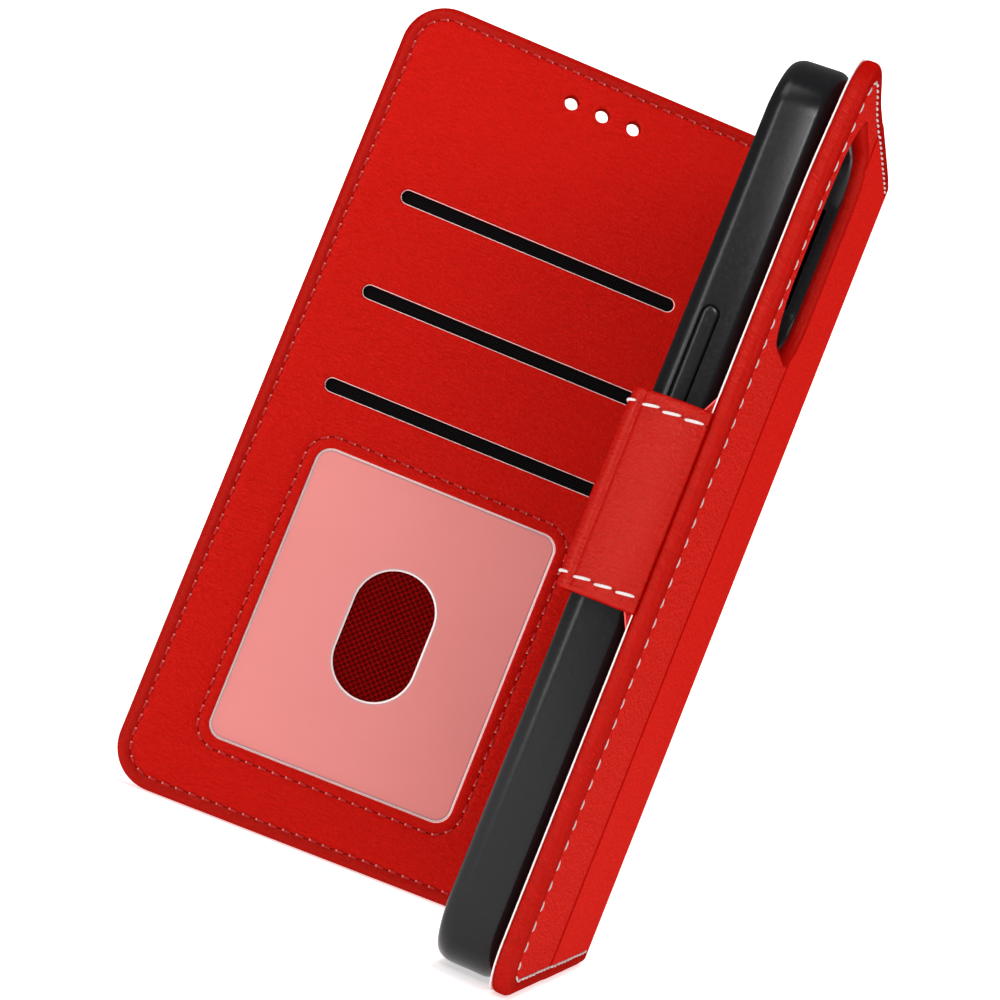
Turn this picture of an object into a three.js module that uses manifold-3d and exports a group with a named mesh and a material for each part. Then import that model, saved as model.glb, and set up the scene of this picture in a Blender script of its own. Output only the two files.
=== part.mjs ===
// Phone wallet case: a leather folio with a padded front cover, a soft spine, a
// back cover that carries a moulded phone shell, and a magnetic closing strap.
//
// Frame, in millimetres: +Z up along the long side of the covers, which stand
// on their bottom edges.  +Y is the outer face of the back cover, +X its
// opening edge, -X the spine.  The object is drawn partly open: the spine is
// square to the back cover and the front cover is swung out from it.
import * as THREE from "three";
import { mergeVertices } from "three/addons/utils/BufferGeometryUtils.js";
import Module from "manifold-3d";

const wasm = await Module();
wasm.setup();

// ---------------------------------------------------------------- dimensions
const H = 165; // height of the covers and the spine
const T = 3.4; // thickness of a cover: leather + core + lining
const SKIN = 0.9; // outer leather, and the front inner panel
const HALF = T / 2;
const CREASE = 1.8; // half of the soft strip at each fold

const BACK_EDGE = 43; // opening edge of the back cover
const BACK_HINGE = -42; // fold between the back cover and the spine
const BACK_R = 9; // free corners of the back cover
const SPINE = 18.5; // from fold to fold
const FRONT_W = 81.3; // front cover, from its fold to its free edge
const FRONT_R = 8; // free corners of the front cover
const FRONT_ANGLE = 72.3; // front cover's swing from shut, in the drawn state

const CAM = { x0: 0, x1: 35, z0: 117, z1: 156.4, r: 10 }; // camera opening

// phone shell
const SHELL_W = 79;
const SHELL_Z0 = 0.6;
const SHELL_Z1 = 163.9;
const SHELL_N0 = 4.1; // depth behind the back cover's outer face
const SHELL_N1 = 15.3;
const SHELL_R = 12;
const WALL = 1.4;
const FLOOR = 1.6;
const LIP = 1.1;

// side buttons
const BUTTON_W = 3;
const BUTTON_OUT = 0.35; // how far a button stands proud
const BUTTON_N = 10.3;
const POWER = [95, 117];
const VOL_UP = [112, 125];
const VOL_DOWN = [95, 108];
const MUTE = [131, 137];

// closing strap
const STRAP_Z0 = 65;
const STRAP_Z1 = 100;
const STRAP_X = 41.3; // middle of its thickness
const STRAP_N = 4.8; // its fold at the back cover
const TAB_N = 16.6; // its fold at the tab
const STRAP_HALF = 1.1;
const STRAP_GAP = 1.3;
const TAB_L = 29.3;

// front inner panel, distances from the free edge and up from the bottom
const SLOT = { l0: 11.5, l1: 69.7, h: 2.7, z: [126.6, 106.4, 86.7] };
const WINDOW = { l0: 15.3, l1: 65.8, z0: 14.5, z1: 75.2, r: 3.2 };
const THUMB = { l: 40.7, z: 44.7, w: 16.3, h: 26.4 };
const SPEAKER = { l: [35.8, 42.4, 49.1], z: 156.5, d: 2.8 };
const STITCH_IN = 3; // thread, from the edge
const STITCH_W = 0.5;
const STITCH_T = 0.13;

// the part's origin: below the middle of the whole outline, on the ground
const ORIGIN = new THREE.Vector3(0.265, 49.009, 0);

// ------------------------------------------------------------------- solids
function solid(geometry) {
  const g = geometry.clone();
  g.deleteAttribute("normal");
  g.deleteAttribute("uv");
  const m = mergeVertices(g, 1e-4);
  return new wasm.Manifold(
    new wasm.Mesh({
      numProp: 3,
      vertProperties: new Float32Array(m.attributes.position.array),
      triVerts: new Uint32Array(m.index.array),
    }),
  );
}

function geometryOf(s) {
  const m = s.getMesh();
  const v = new Float32Array(m.numVert * 3);
  for (let i = 0; i < m.numVert; i++)
    v.set(m.vertProperties.subarray(i * m.numProp, i * m.numProp + 3), i * 3);
  const g = new THREE.BufferGeometry();
  g.setAttribute("position", new THREE.BufferAttribute(v, 3));
  g.setIndex(new THREE.BufferAttribute(m.triVerts, 1));
  g.computeVertexNormals();
  return g;
}

function cut(geometry, ...tools) {
  let s = solid(geometry);
  for (const t of tools) s = s.subtract(solid(t));
  return geometryOf(s);
}

function join(...parts) {
  let s = solid(parts[0]);
  for (const p of parts.slice(1)) s = s.add(solid(p));
  return geometryOf(s);
}

// Rectangle with its own radius at each corner: bottom left, bottom right,
// top right, top left.
function rect(x0, z0, x1, z1, r = 0) {
  const [a, b, c, d] = Array.isArray(r) ? r : [r, r, r, r];
  const s = new THREE.Shape();
  s.moveTo(x0 + a, z0);
  s.lineTo(x1 - b, z0);
  if (b) s.absarc(x1 - b, z0 + b, b, -Math.PI / 2, 0, false);
  s.lineTo(x1, z1 - c);
  if (c) s.absarc(x1 - c, z1 - c, c, 0, Math.PI / 2, false);
  s.lineTo(x0 + d, z1);
  if (d) s.absarc(x0 + d, z1 - d, d, Math.PI / 2, Math.PI, false);
  s.lineTo(x0, z0 + a);
  if (a) s.absarc(x0 + a, z0 + a, a, Math.PI, 1.5 * Math.PI, false);
  return s;
}

const reversed = (shape) => new THREE.Path(shape.getPoints(8).reverse());

// A slab whose outline lies in X and Z, from y0 up to y1.
function slab(shape, y0, y1, segments = 8) {
  const g = new THREE.ExtrudeGeometry(shape, {
    depth: y1 - y0,
    bevelEnabled: false,
    curveSegments: segments,
  });
  g.rotateX(Math.PI / 2);
  g.translate(0, y1, 0);
  return g;
}

// A slab whose outline lies in Y and Z, from x0 up to x1.
function sideSlab(shape, x0, x1, segments = 6) {
  const g = new THREE.ExtrudeGeometry(shape, {
    depth: x1 - x0,
    bevelEnabled: false,
    curveSegments: segments,
  });
  g.applyMatrix4(
    new THREE.Matrix4().makeBasis(
      new THREE.Vector3(0, 1, 0),
      new THREE.Vector3(0, 0, 1),
      new THREE.Vector3(1, 0, 0),
    ),
  );
  g.translate(x0, 0, 0);
  return g;
}

// A block whose outline lies in X and Y, from z0 up to z1.
function prism(points, z0, z1) {
  const g = new THREE.ExtrudeGeometry(
    new THREE.Shape(points.map(([x, y]) => new THREE.Vector2(x, y))),
    { depth: z1 - z0, bevelEnabled: false },
  );
  g.translate(0, 0, z0);
  return g;
}

// A thread run along the bottom, the free side and the top of a cover.
function threadU(x0, x1, z0, z1, r, w = STITCH_W) {
  const s = new THREE.Shape();
  s.moveTo(x0, z0);
  s.lineTo(x1 - r, z0);
  s.absarc(x1 - r, z0 + r, r, -Math.PI / 2, 0, false);
  s.lineTo(x1, z1 - r);
  s.absarc(x1 - r, z1 - r, r, 0, Math.PI / 2, false);
  s.lineTo(x0, z1);
  s.lineTo(x0, z1 - w);
  s.lineTo(x1 - r, z1 - w);
  s.absarc(x1 - r, z1 - r, r - w, Math.PI / 2, 0, true);
  s.lineTo(x1 - w, z0 + r);
  s.absarc(x1 - r, z0 + r, r - w, 0, -Math.PI / 2, true);
  s.lineTo(x0, z0 + w);
  return s;
}

// Closed surface through a stack of rounded rectangles, each given by how far
// it is inset from the full outline and how deep it lies.
function ringStack(w, z0, z1, r, rings, seg = 6) {
  const pos = [];
  const idx = [];
  let n = 0;
  for (const [inset, depth] of rings) {
    const rr = Math.max(r - inset, 0.3);
    const x = w / 2 - inset;
    const a = z0 + inset;
    const b = z1 - inset;
    const ring = [];
    for (const [cx, cz, t0] of [
      [x - rr, a + rr, -Math.PI / 2],
      [x - rr, b - rr, 0],
      [-x + rr, b - rr, Math.PI / 2],
      [-x + rr, a + rr, Math.PI],
    ])
      for (let i = 0; i <= seg; i++) {
        const t = t0 + (i / seg) * (Math.PI / 2);
        ring.push([cx + rr * Math.cos(t), -depth, cz + rr * Math.sin(t)]);
      }
    n = ring.length;
    pos.push(...ring.flat());
  }
  const m = rings.length;
  for (let k = 0; k + 1 < m; k++)
    for (let i = 0; i < n; i++) {
      const j = (i + 1) % n;
      idx.push(k * n + i, k * n + j, (k + 1) * n + i);
      idx.push(k * n + j, (k + 1) * n + j, (k + 1) * n + i);
    }
  const c0 = pos.length / 3;
  pos.push(0, -rings[0][1], (z0 + z1) / 2);
  const c1 = c0 + 1;
  pos.push(0, -rings[m - 1][1], (z0 + z1) / 2);
  for (let i = 0; i < n; i++) {
    const j = (i + 1) % n;
    idx.push(c0, j, i);
    idx.push(c1, (m - 1) * n + i, (m - 1) * n + j);
  }
  const g = new THREE.BufferGeometry();
  g.setAttribute("position", new THREE.Float32BufferAttribute(pos, 3));
  g.setIndex(idx);
  return g;
}

// ---------------------------------------------------------------- materials
const finish = (color, roughness, metalness = 0) => () =>
  new THREE.MeshStandardMaterial({ color, roughness, metalness });
const leather = finish(0xc8140e, 0.55);
const lining = finish(0xb5120d, 0.7);
const board = finish(0x8d8275, 0.9);
const foam = finish(0x35312f, 0.95);
const fabric = finish(0x151515, 0.95);
const wovenRed = finish(0x5a0606, 0.95);
const film = finish(0xe98985, 0.35);
const tpu = finish(0x2c2c2e, 0.5);
const tape = finish(0xd8d8d2, 0.8);
const steel = finish(0x9a9da1, 0.4, 1);
const magnetMetal = finish(0x6f7174, 0.35, 1);
const threadRed = finish(0xc4201c, 0.8);
const threadWhite = finish(0xf1e9e6, 0.8);

const root = new THREE.Group();
const assembly = new THREE.Group();
assembly.position.copy(ORIGIN);
root.add(assembly);

function add(group, name, geometry, material) {
  const mesh = new THREE.Mesh(geometry, material());
  mesh.name = name;
  group.add(mesh);
}

// --------------------------------------------------------------- back cover
const back = new THREE.Group();
assembly.add(back);
const backShape = (inset, hole) => {
  const s = rect(
    BACK_HINGE + CREASE,
    inset,
    BACK_EDGE - inset,
    H - inset,
    [0, BACK_R - inset, BACK_R - inset, 0],
  );
  s.holes.push(
    reversed(
      rect(
        CAM.x0 - hole,
        CAM.z0 - hole,
        CAM.x1 + hole,
        CAM.z1 + hole,
        CAM.r + hole,
      ),
    ),
  );
  return s;
};
const backThread = (grow) =>
  threadU(
    BACK_HINGE + CREASE + 0.6 - grow,
    BACK_EDGE - STITCH_IN + STITCH_W / 2 + grow,
    STITCH_IN - STITCH_W / 2 - grow,
    H - STITCH_IN + STITCH_W / 2 + grow,
    BACK_R - STITCH_IN + grow,
    STITCH_W + 2 * grow,
  );
// the thread lies sunk in a sewn groove, so that the back lies flat on a table
add(
  back,
  "back_outer_leather",
  cut(slab(backShape(0, 0), -SKIN, 0), slab(backThread(0.06), -0.2, 1, 5)),
  leather,
);
add(back, "back_board", slab(backShape(1.2, 1), -2.42, -SKIN - 0.08), board);
add(back, "back_lining", slab(backShape(0.3, 0), -T, -2.5), lining);
add(
  back,
  "back_edge_stitching",
  slab(backThread(0), -0.02 - STITCH_T, -0.02, 5),
  threadWhite,
);

// adhesive pad, notched for the strap's tongue
{
  const s = new THREE.Shape();
  s.moveTo(-36, 5);
  s.lineTo(36, 5);
  s.lineTo(36, STRAP_Z0 - 1);
  s.lineTo(23, STRAP_Z0 - 1);
  s.lineTo(23, STRAP_Z1 + 1);
  s.lineTo(36, STRAP_Z1 + 1);
  s.lineTo(36, 112);
  s.lineTo(-36, 112);
  add(back, "shell_adhesive", slab(s, -4.05, -T - 0.05), tape);
}
add(
  back,
  "strap_anchor",
  slab(rect(24, STRAP_Z0, 40, STRAP_Z1, [2, 0, 0, 2]), -4.05, -T - 0.05),
  lining,
);

// phone shell: a tray with a raised camera rim, side wall slots and a port
{
  const tray = ringStack(SHELL_W, SHELL_Z0, SHELL_Z1, SHELL_R, [
    [2.4, SHELL_N0],
    [1.1, SHELL_N0 + 0.25],
    [0.35, SHELL_N0 + 0.95],
    [0, SHELL_N0 + 2.2],
    [0, SHELL_N1 - 2.9],
    [0.25, SHELL_N1 - 1.5],
    [0.8, SHELL_N1 - 0.55],
    [1.6, SHELL_N1],
    [WALL + LIP, SHELL_N1],
    [WALL + LIP, SHELL_N1 - 0.9],
    [WALL, SHELL_N1 - 1.1],
    [WALL, SHELL_N0 + FLOOR + 0.7],
    [WALL + 0.8, SHELL_N0 + FLOOR],
  ]);
  const camRect = (d) =>
    rect(CAM.x0 + d, CAM.z0 + d, CAM.x1 - d, CAM.z1 - d, CAM.r - d);
  const rim = slab(camRect(0.4), -SHELL_N0 - 0.8, -2.1);
  const camHole = slab(camRect(1.7), -SHELL_N0 - 3, -1);
  const slot = ([z0, z1], x0, x1) =>
    sideSlab(
      rect(
        -BUTTON_N - BUTTON_W / 2 - 0.15,
        z0 - 0.15,
        -BUTTON_N + BUTTON_W / 2 + 0.15,
        z1 + 0.15,
        BUTTON_W / 2 + 0.15,
      ),
      x0,
      x1,
    );
  const edge = SHELL_W / 2;
  const drop = (x0, x1, n0, n1) => {
    const s = rect(x0, -n1, x1, -n0, (n1 - n0) / 2);
    const g = new THREE.ExtrudeGeometry(s, {
      depth: 4,
      bevelEnabled: false,
      curveSegments: 6,
    });
    g.translate(0, 0, SHELL_Z0 - 1.5);
    return g;
  };
  add(
    back,
    "tpu_shell",
    cut(
      join(tray, rim),
      camHole,
      slot(POWER, edge - WALL - 1, edge + 1),
      slot(VOL_UP, -edge - 1, -edge + WALL + 1),
      slot(VOL_DOWN, -edge - 1, -edge + WALL + 1),
      slot(MUTE, -edge - 1, -edge + WALL + 1),
      drop(-6.5, 6.5, 7.6, 12.6),
      drop(11, 24, 8.9, 11.5),
      drop(-24, -11, 8.9, 11.5),
    ),
    tpu,
  );
  const button = ([z0, z1], x0, x1) =>
    sideSlab(
      rect(
        -BUTTON_N - BUTTON_W / 2,
        z0,
        -BUTTON_N + BUTTON_W / 2,
        z1,
        BUTTON_W / 2,
      ),
      x0,
      x1,
    );
  const inner = edge - WALL + 0.1;
  const outer = edge + BUTTON_OUT;
  add(back, "power_button", button(POWER, inner, outer), tpu);
  add(back, "volume_up_button", button(VOL_UP, -outer, -inner), tpu);
  add(back, "volume_down_button", button(VOL_DOWN, -outer, -inner), tpu);
}

// -------------------------------------------------------------------- spine
const spine = new THREE.Group();
spine.position.set(BACK_HINGE, -HALF, 0);
spine.rotation.z = -Math.PI / 2;
assembly.add(spine);
const spineShape = (inset) =>
  rect(CREASE + inset, inset, SPINE - CREASE - inset, H - inset);
add(
  spine,
  "spine_outer_leather",
  slab(spineShape(0), -HALF, -HALF + SKIN),
  leather,
);
add(spine, "spine_board", slab(spineShape(1.2), -0.72, 0.72), board);
add(spine, "spine_lining", slab(spineShape(0.3), 0.8, HALF), lining);

// -------------------------------------------------------------- front cover
// Its own frame lies as if shut: x from the fold to the free edge, the inner
// face towards +y.
const front = new THREE.Group();
front.position.set(BACK_HINGE, -HALF - SPINE, 0);
front.rotation.z = (-FRONT_ANGLE * Math.PI) / 180;
assembly.add(front);
const frontShape = (inset) =>
  rect(CREASE, inset, FRONT_W - inset, H - inset, [
    0,
    FRONT_R - inset,
    FRONT_R - inset,
    0,
  ]);
const fromFree = (l) => FRONT_W - l;
const speakerHoles = (shape, d = SPEAKER.d) => {
  for (const l of SPEAKER.l) {
    const p = new THREE.Path();
    p.absarc(fromFree(l), SPEAKER.z, d / 2, 0, 2 * Math.PI, true);
    shape.holes.push(p);
  }
  return shape;
};
add(
  front,
  "front_outer_leather",
  slab(speakerHoles(frontShape(0)), -HALF, -HALF + SKIN, 6),
  leather,
);
const PLATE = [52, 69.5, 66, 95.5];
{
  const s = speakerHoles(frontShape(1.2), SPEAKER.d + 0.8);
  s.holes.push(
    reversed(rect(PLATE[0] - 0.3, PLATE[1] - 0.3, PLATE[2] + 0.3, PLATE[3] + 0.3)),
  );
  add(front, "front_board", slab(s, -0.72, 0.1, 6), board);
}
add(
  front,
  "catch_plate",
  slab(rect(...PLATE, 1), -0.68, -0.08, 3),
  steel,
);
const pocketX = [fromFree(SLOT.l1 + 2), fromFree(SLOT.l0 - 2)];
[
  [108.4, 130],
  [88.6, 108.1],
  [77.4, 88.3],
].forEach(([z0, z1], i) =>
  add(
    front,
    "card_pocket_" + (i + 1),
    slab(rect(pocketX[0], z0, pocketX[1], z1), 0.2, 0.62),
    fabric,
  ),
);
const win = (d) =>
  rect(
    fromFree(WINDOW.l1) - d,
    WINDOW.z0 - d,
    fromFree(WINDOW.l0) + d,
    WINDOW.z1 + d,
    Math.max(WINDOW.r + d * 0.5, 0.5),
  );
add(front, "id_pocket_backing", slab(win(1.8), 0.2, 0.46), wovenRed);
{
  const s = win(1.5);
  s.holes.push(
    reversed(
      rect(
        fromFree(THUMB.l) - THUMB.w / 2,
        THUMB.z - THUMB.h / 2,
        fromFree(THUMB.l) + THUMB.w / 2,
        THUMB.z + THUMB.h / 2,
        THUMB.w / 2 - 0.05,
      ),
    ),
  );
  add(front, "id_window_film", slab(s, 0.52, 0.72), film);
}
{
  const s = speakerHoles(frontShape(0));
  for (const z of SLOT.z)
    s.holes.push(
      reversed(
        rect(
          fromFree(SLOT.l1),
          z - SLOT.h / 2,
          fromFree(SLOT.l0),
          z + SLOT.h / 2,
          SLOT.h / 2 - 0.02,
        ),
      ),
    );
  s.holes.push(reversed(win(0)));
  add(front, "front_inner_panel", slab(s, HALF - SKIN, HALF, 6), leather);
}
add(
  front,
  "front_edge_stitching",
  slab(
    threadU(
      CREASE + 0.6,
      FRONT_W - STITCH_IN + STITCH_W / 2,
      STITCH_IN - STITCH_W / 2,
      H - STITCH_IN + STITCH_W / 2,
      FRONT_R - STITCH_IN,
    ),
    HALF + 0.02,
    HALF + 0.02 + STITCH_T,
    5,
  ),
  threadRed,
);
{
  const d = 2.6;
  const s = rect(
    fromFree(WINDOW.l1) - d,
    WINDOW.z0 - d,
    fromFree(WINDOW.l0) + d,
    WINDOW.z1 + d,
    6,
  );
  const e = d - STITCH_W;
  s.holes.push(
    reversed(
      rect(
        fromFree(WINDOW.l1) - e,
        WINDOW.z0 - e,
        fromFree(WINDOW.l0) + e,
        WINDOW.z1 + e,
        6 - STITCH_W,
      ),
    ),
  );
  add(
    front,
    "window_stitching",
    slab(s, HALF + 0.02, HALF + 0.02 + STITCH_T, 5),
    threadRed,
  );
}

// ------------------------------------------------------------ closing strap
// Its own frame: x from the fold at the back cover to the fold at the tab, +y
// outwards.
const strap = new THREE.Group();
strap.position.set(STRAP_X, -STRAP_N, 0);
strap.rotation.z = -Math.PI / 2;
assembly.add(strap);
const strapL = TAB_N - STRAP_N;
{
  const x0 = STRAP_GAP;
  const x1 = strapL - STRAP_GAP;
  const top = [];
  const n = 10;
  for (let i = 0; i <= n; i++) {
    const t = i / n;
    const x = x1 + (x0 - x1) * t;
    top.push([x, 0.95 + 0.75 * Math.sin(Math.PI * t) ** 1.2]);
  }
  add(
    strap,
    "strap_outer_leather",
    prism([[x0, 0.45], [x1, 0.45], ...top], STRAP_Z0, STRAP_Z1),
    leather,
  );
  add(
    strap,
    "strap_padding",
    prism(
      [
        [x0 + 0.6, -0.45],
        [x1 - 0.6, -0.45],
        [x1 - 0.6, 0.36],
        [x0 + 0.6, 0.36],
      ],
      STRAP_Z0 + 2.6,
      STRAP_Z1 - 2.6,
    ),
    foam,
  );
  add(
    strap,
    "strap_lining",
    prism(
      [
        [x0, -STRAP_HALF],
        [x1, -STRAP_HALF],
        [x1, -0.55],
        [x0, -0.55],
      ],
      STRAP_Z0,
      STRAP_Z1,
    ),
    lining,
  );
  for (const [name, z] of [
    ["strap_stitching_bottom", STRAP_Z0 + 2],
    ["strap_stitching_top", STRAP_Z1 - 2],
  ]) {
    const line = top.map(([x, y]) => [x, y + 0.03]);
    const lift = top.map(([x, y]) => [x, y + 0.17]).reverse();
    add(strap, name, prism([...line, ...lift].reverse(), z - 0.25, z + 0.25), threadWhite);
  }
}
const tab = new THREE.Group();
tab.position.set(STRAP_X, -TAB_N, 0);
tab.rotation.z = Math.PI;
assembly.add(tab);
{
  // seen from outside, x runs to the free end
  const out = (d) =>
    rect(STRAP_GAP + (d ? 0.6 : 0), STRAP_Z0 + d, TAB_L - d, STRAP_Z1 - d, [
      0,
      6 - d,
      6 - d,
      0,
    ]);
  const MAG = [13, 72.5, 23, 92.5];
  add(tab, "tab_outer_leather", slab(out(0), 0.45, STRAP_HALF), leather);
  const s = out(1);
  s.holes.push(
    reversed(rect(MAG[0] - 0.2, MAG[1] - 0.2, MAG[2] + 0.2, MAG[3] + 0.2)),
  );
  add(tab, "tab_stiffener", slab(s, -0.46, 0.36), board);
  add(tab, "tab_magnet", slab(rect(...MAG, 0.6), -0.42, 0.32, 3), magnetMetal);
  add(tab, "tab_lining", slab(out(0), -STRAP_HALF, -0.54), lining);
}

export default root;
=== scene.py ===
import math

import bmesh
import bpy
import numpy as np
from mathutils import Matrix, Vector
from mathutils.geometry import delaunay_2d_cdt


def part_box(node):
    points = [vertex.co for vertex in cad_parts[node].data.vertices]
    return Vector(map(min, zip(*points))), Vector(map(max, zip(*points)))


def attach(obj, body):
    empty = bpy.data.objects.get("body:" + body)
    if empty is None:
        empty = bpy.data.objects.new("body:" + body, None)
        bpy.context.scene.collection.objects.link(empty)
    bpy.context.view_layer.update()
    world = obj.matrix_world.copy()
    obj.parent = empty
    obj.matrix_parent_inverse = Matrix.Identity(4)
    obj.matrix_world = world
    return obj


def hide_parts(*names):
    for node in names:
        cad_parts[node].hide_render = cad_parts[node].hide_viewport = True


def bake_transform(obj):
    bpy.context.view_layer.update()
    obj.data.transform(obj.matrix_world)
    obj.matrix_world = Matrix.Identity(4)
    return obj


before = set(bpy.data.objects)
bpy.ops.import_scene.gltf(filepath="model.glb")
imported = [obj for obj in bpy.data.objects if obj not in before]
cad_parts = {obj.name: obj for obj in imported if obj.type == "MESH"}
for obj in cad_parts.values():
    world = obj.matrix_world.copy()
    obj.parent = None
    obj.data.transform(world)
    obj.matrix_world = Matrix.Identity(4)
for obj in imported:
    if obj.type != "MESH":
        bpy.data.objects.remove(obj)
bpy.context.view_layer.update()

# ---------------------------------------------------------------------------
# Sizes below are millimetres in the drawing's own frame: y = 0 is the outer
# face of the back cover, +x its opening edge.  The shift to the row's frame is
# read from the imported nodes.
_lo, _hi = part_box("back_outer_leather")
SHIFT = np.array([_hi.x * 1000 - 43.0, _hi.y * 1000, 0.0])

H = 165.0
T = 3.4
HINGE_X, HINGE_Y = -42.0, -1.7
SPINE = 18.5
FRONT_W = 81.3
SWING = math.radians(72.3)
CREASE = 1.8


def row(p):
    return (np.asarray(p, float) + SHIFT) / 1000.0


# ------------------------------------------------------------------ sections
class Section:
    """A line in plan made of straight runs and arcs; h is measured to the side."""

    def __init__(self, start, heading, runs, side):
        self.runs = []
        p, a, s = np.array(start, float), math.radians(heading), 0.0
        for kind, *v in runs:
            if kind == "L":
                self.runs.append((s, s + v[0], "L", p.copy(), a, 0, 0))
                p = p + v[0] * np.array([math.cos(a), math.sin(a)])
                s += v[0]
            else:
                r, turn = v[0], math.radians(v[1])
                g = 1 if turn > 0 else -1
                c = p + g * r * np.array([-math.sin(a), math.cos(a)])
                length = abs(turn) * r
                self.runs.append((s, s + length, "A", c, a, r, g))
                a += turn
                p = c - g * r * np.array([-math.sin(a), math.cos(a)])
                s += length
        self.length = s
        self.side = side  # +1 left of the heading, -1 right of it

    def map(self, s, h):
        s = np.asarray(s, float)
        h = np.broadcast_to(np.asarray(h, float), s.shape)
        x, y = np.zeros_like(s), np.zeros_like(s)
        n = len(self.runs)
        for i, (s0, s1, kind, p, a, r, g) in enumerate(self.runs):
            m = (s >= s0 if i else s > -1e9) & (s < s1 if i < n - 1 else s < 1e9)
            if kind == "L":
                d = s[m] - s0
                x[m] = p[0] + d * math.cos(a) - self.side * h[m] * math.sin(a)
                y[m] = p[1] + d * math.sin(a) + self.side * h[m] * math.cos(a)
            else:
                t = a + g * (s[m] - s0) / r
                rr = -g * r + self.side * h[m]
                x[m] = p[0] - rr * np.sin(t)
                y[m] = p[1] + rr * np.cos(t)
        return x, y


def place(sec, s, z, h):
    x, y = sec.map(s, h)
    return row(np.stack([x, y, np.asarray(z, float)], -1))


MID = SPINE / 2  # the skins of the two covers meet in the middle of the spine
SEC_BACK = Section(
    (43, 0), 180, [("L", 83.2), ("A", 3.5, 90), ("L", MID - CREASE)], -1
)
_rm = CREASE / math.tan((math.pi / 2 - SWING) / 2)
SEC_FRONT = Section(
    (HINGE_X - T / 2, HINGE_Y - MID),
    -90,
    [
        ("L", MID - CREASE),
        ("A", _rm + T / 2, 90 - 72.3),
        ("L", FRONT_W - CREASE),
    ],
    -1,
)
BACK_FOLD = SEC_BACK.runs[1][:2]
FRONT_FOLD = SEC_FRONT.runs[1][:2]
FREE = SEC_FRONT.length  # s of the front cover's free edge
FR = 9.0  # its soft corners
IN = 2.6  # thread from the front cover's edge


# -------------------------------------------------------------------- shapes
class Round:
    """Rectangle with rounded corners, lying in s and z."""

    def __init__(self, a0, b0, a1, b1, r):
        self.c = (a0, b0, a1, b1)
        self.r = r

    def dist(self, p):
        a0, b0, a1, b1 = self.c
        q = np.abs(p - [(a0 + a1) / 2, (b0 + b1) / 2]) - [
            (a1 - a0) / 2 - self.r,
            (b1 - b0) / 2 - self.r,
        ]
        return (
            np.linalg.norm(np.maximum(q, 0), axis=1)
            + np.minimum(np.max(q, axis=1), 0)
            - self.r
        )

    def loop(self, grow=0.0, step=1.0, arc=None):
        """Closed loop, counter-clockwise, grown outwards."""
        a0, b0, a1, b1 = self.c
        a0, b0, a1, b1 = a0 - grow, b0 - grow, a1 + grow, b1 + grow
        r = max(self.r + grow, 0.05)
        n = arc or max(4, int(math.ceil(r * math.pi / 2 / min(step, 0.9))))
        pts = []
        for cx, cy, t0 in (
            (a1 - r, b0 + r, -90),
            (a1 - r, b1 - r, 0),
            (a0 + r, b1 - r, 90),
            (a0 + r, b0 + r, 180),
        ):
            for i in range(n + 1):
                t = math.radians(t0 + 90 * i / n)
                pts.append((cx + r * math.cos(t), cy + r * math.sin(t)))
        out = []
        for i, p in enumerate(pts):
            q = pts[(i + 1) % len(pts)]
            d = math.dist(p, q)
            if d < 1e-6:
                continue
            k = max(1, int(round(d / step))) if d > 1.5 * step else 1
            for j in range(k):
                out.append((p[0] + (q[0] - p[0]) * j / k, p[1] + (q[1] - p[1]) * j / k))
        return np.array(out)


def smooth(t):
    t = np.clip(t, 0, 1)
    return t * t * (3 - 2 * t)


def bulge(d, w):
    """0 at d = 0, 1 from d = w on, round like a quarter circle."""
    t = np.clip(d / w, 0, 1)
    return np.sqrt(np.clip(1 - (1 - t) ** 2, 0, 1))


# --------------------------------------------------------------- mesh making
def new_object(name, verts, faces, mats, index=None, uv=None, smooth_faces=True):
    me = bpy.data.meshes.new(name)
    me.from_pydata([tuple(v) for v in verts], [], [tuple(f) for f in faces])
    for m in mats:
        me.materials.append(m)
    if index is not None:
        me.polygons.foreach_set("material_index", np.asarray(index, np.int32))
    me.polygons.foreach_set("use_smooth", [smooth_faces] * len(me.polygons))
    if uv is not None:
        layer = me.uv_layers.new(name="UVMap")
        li = np.zeros(len(me.loops), np.int32)
        me.loops.foreach_get("vertex_index", li)
        layer.data.foreach_set("uv", np.asarray(uv, np.float32)[li].ravel())
    me.validate()
    me.update()
    o = bpy.data.objects.new(name, me)
    bpy.context.scene.collection.objects.link(o)
    return o


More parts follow.
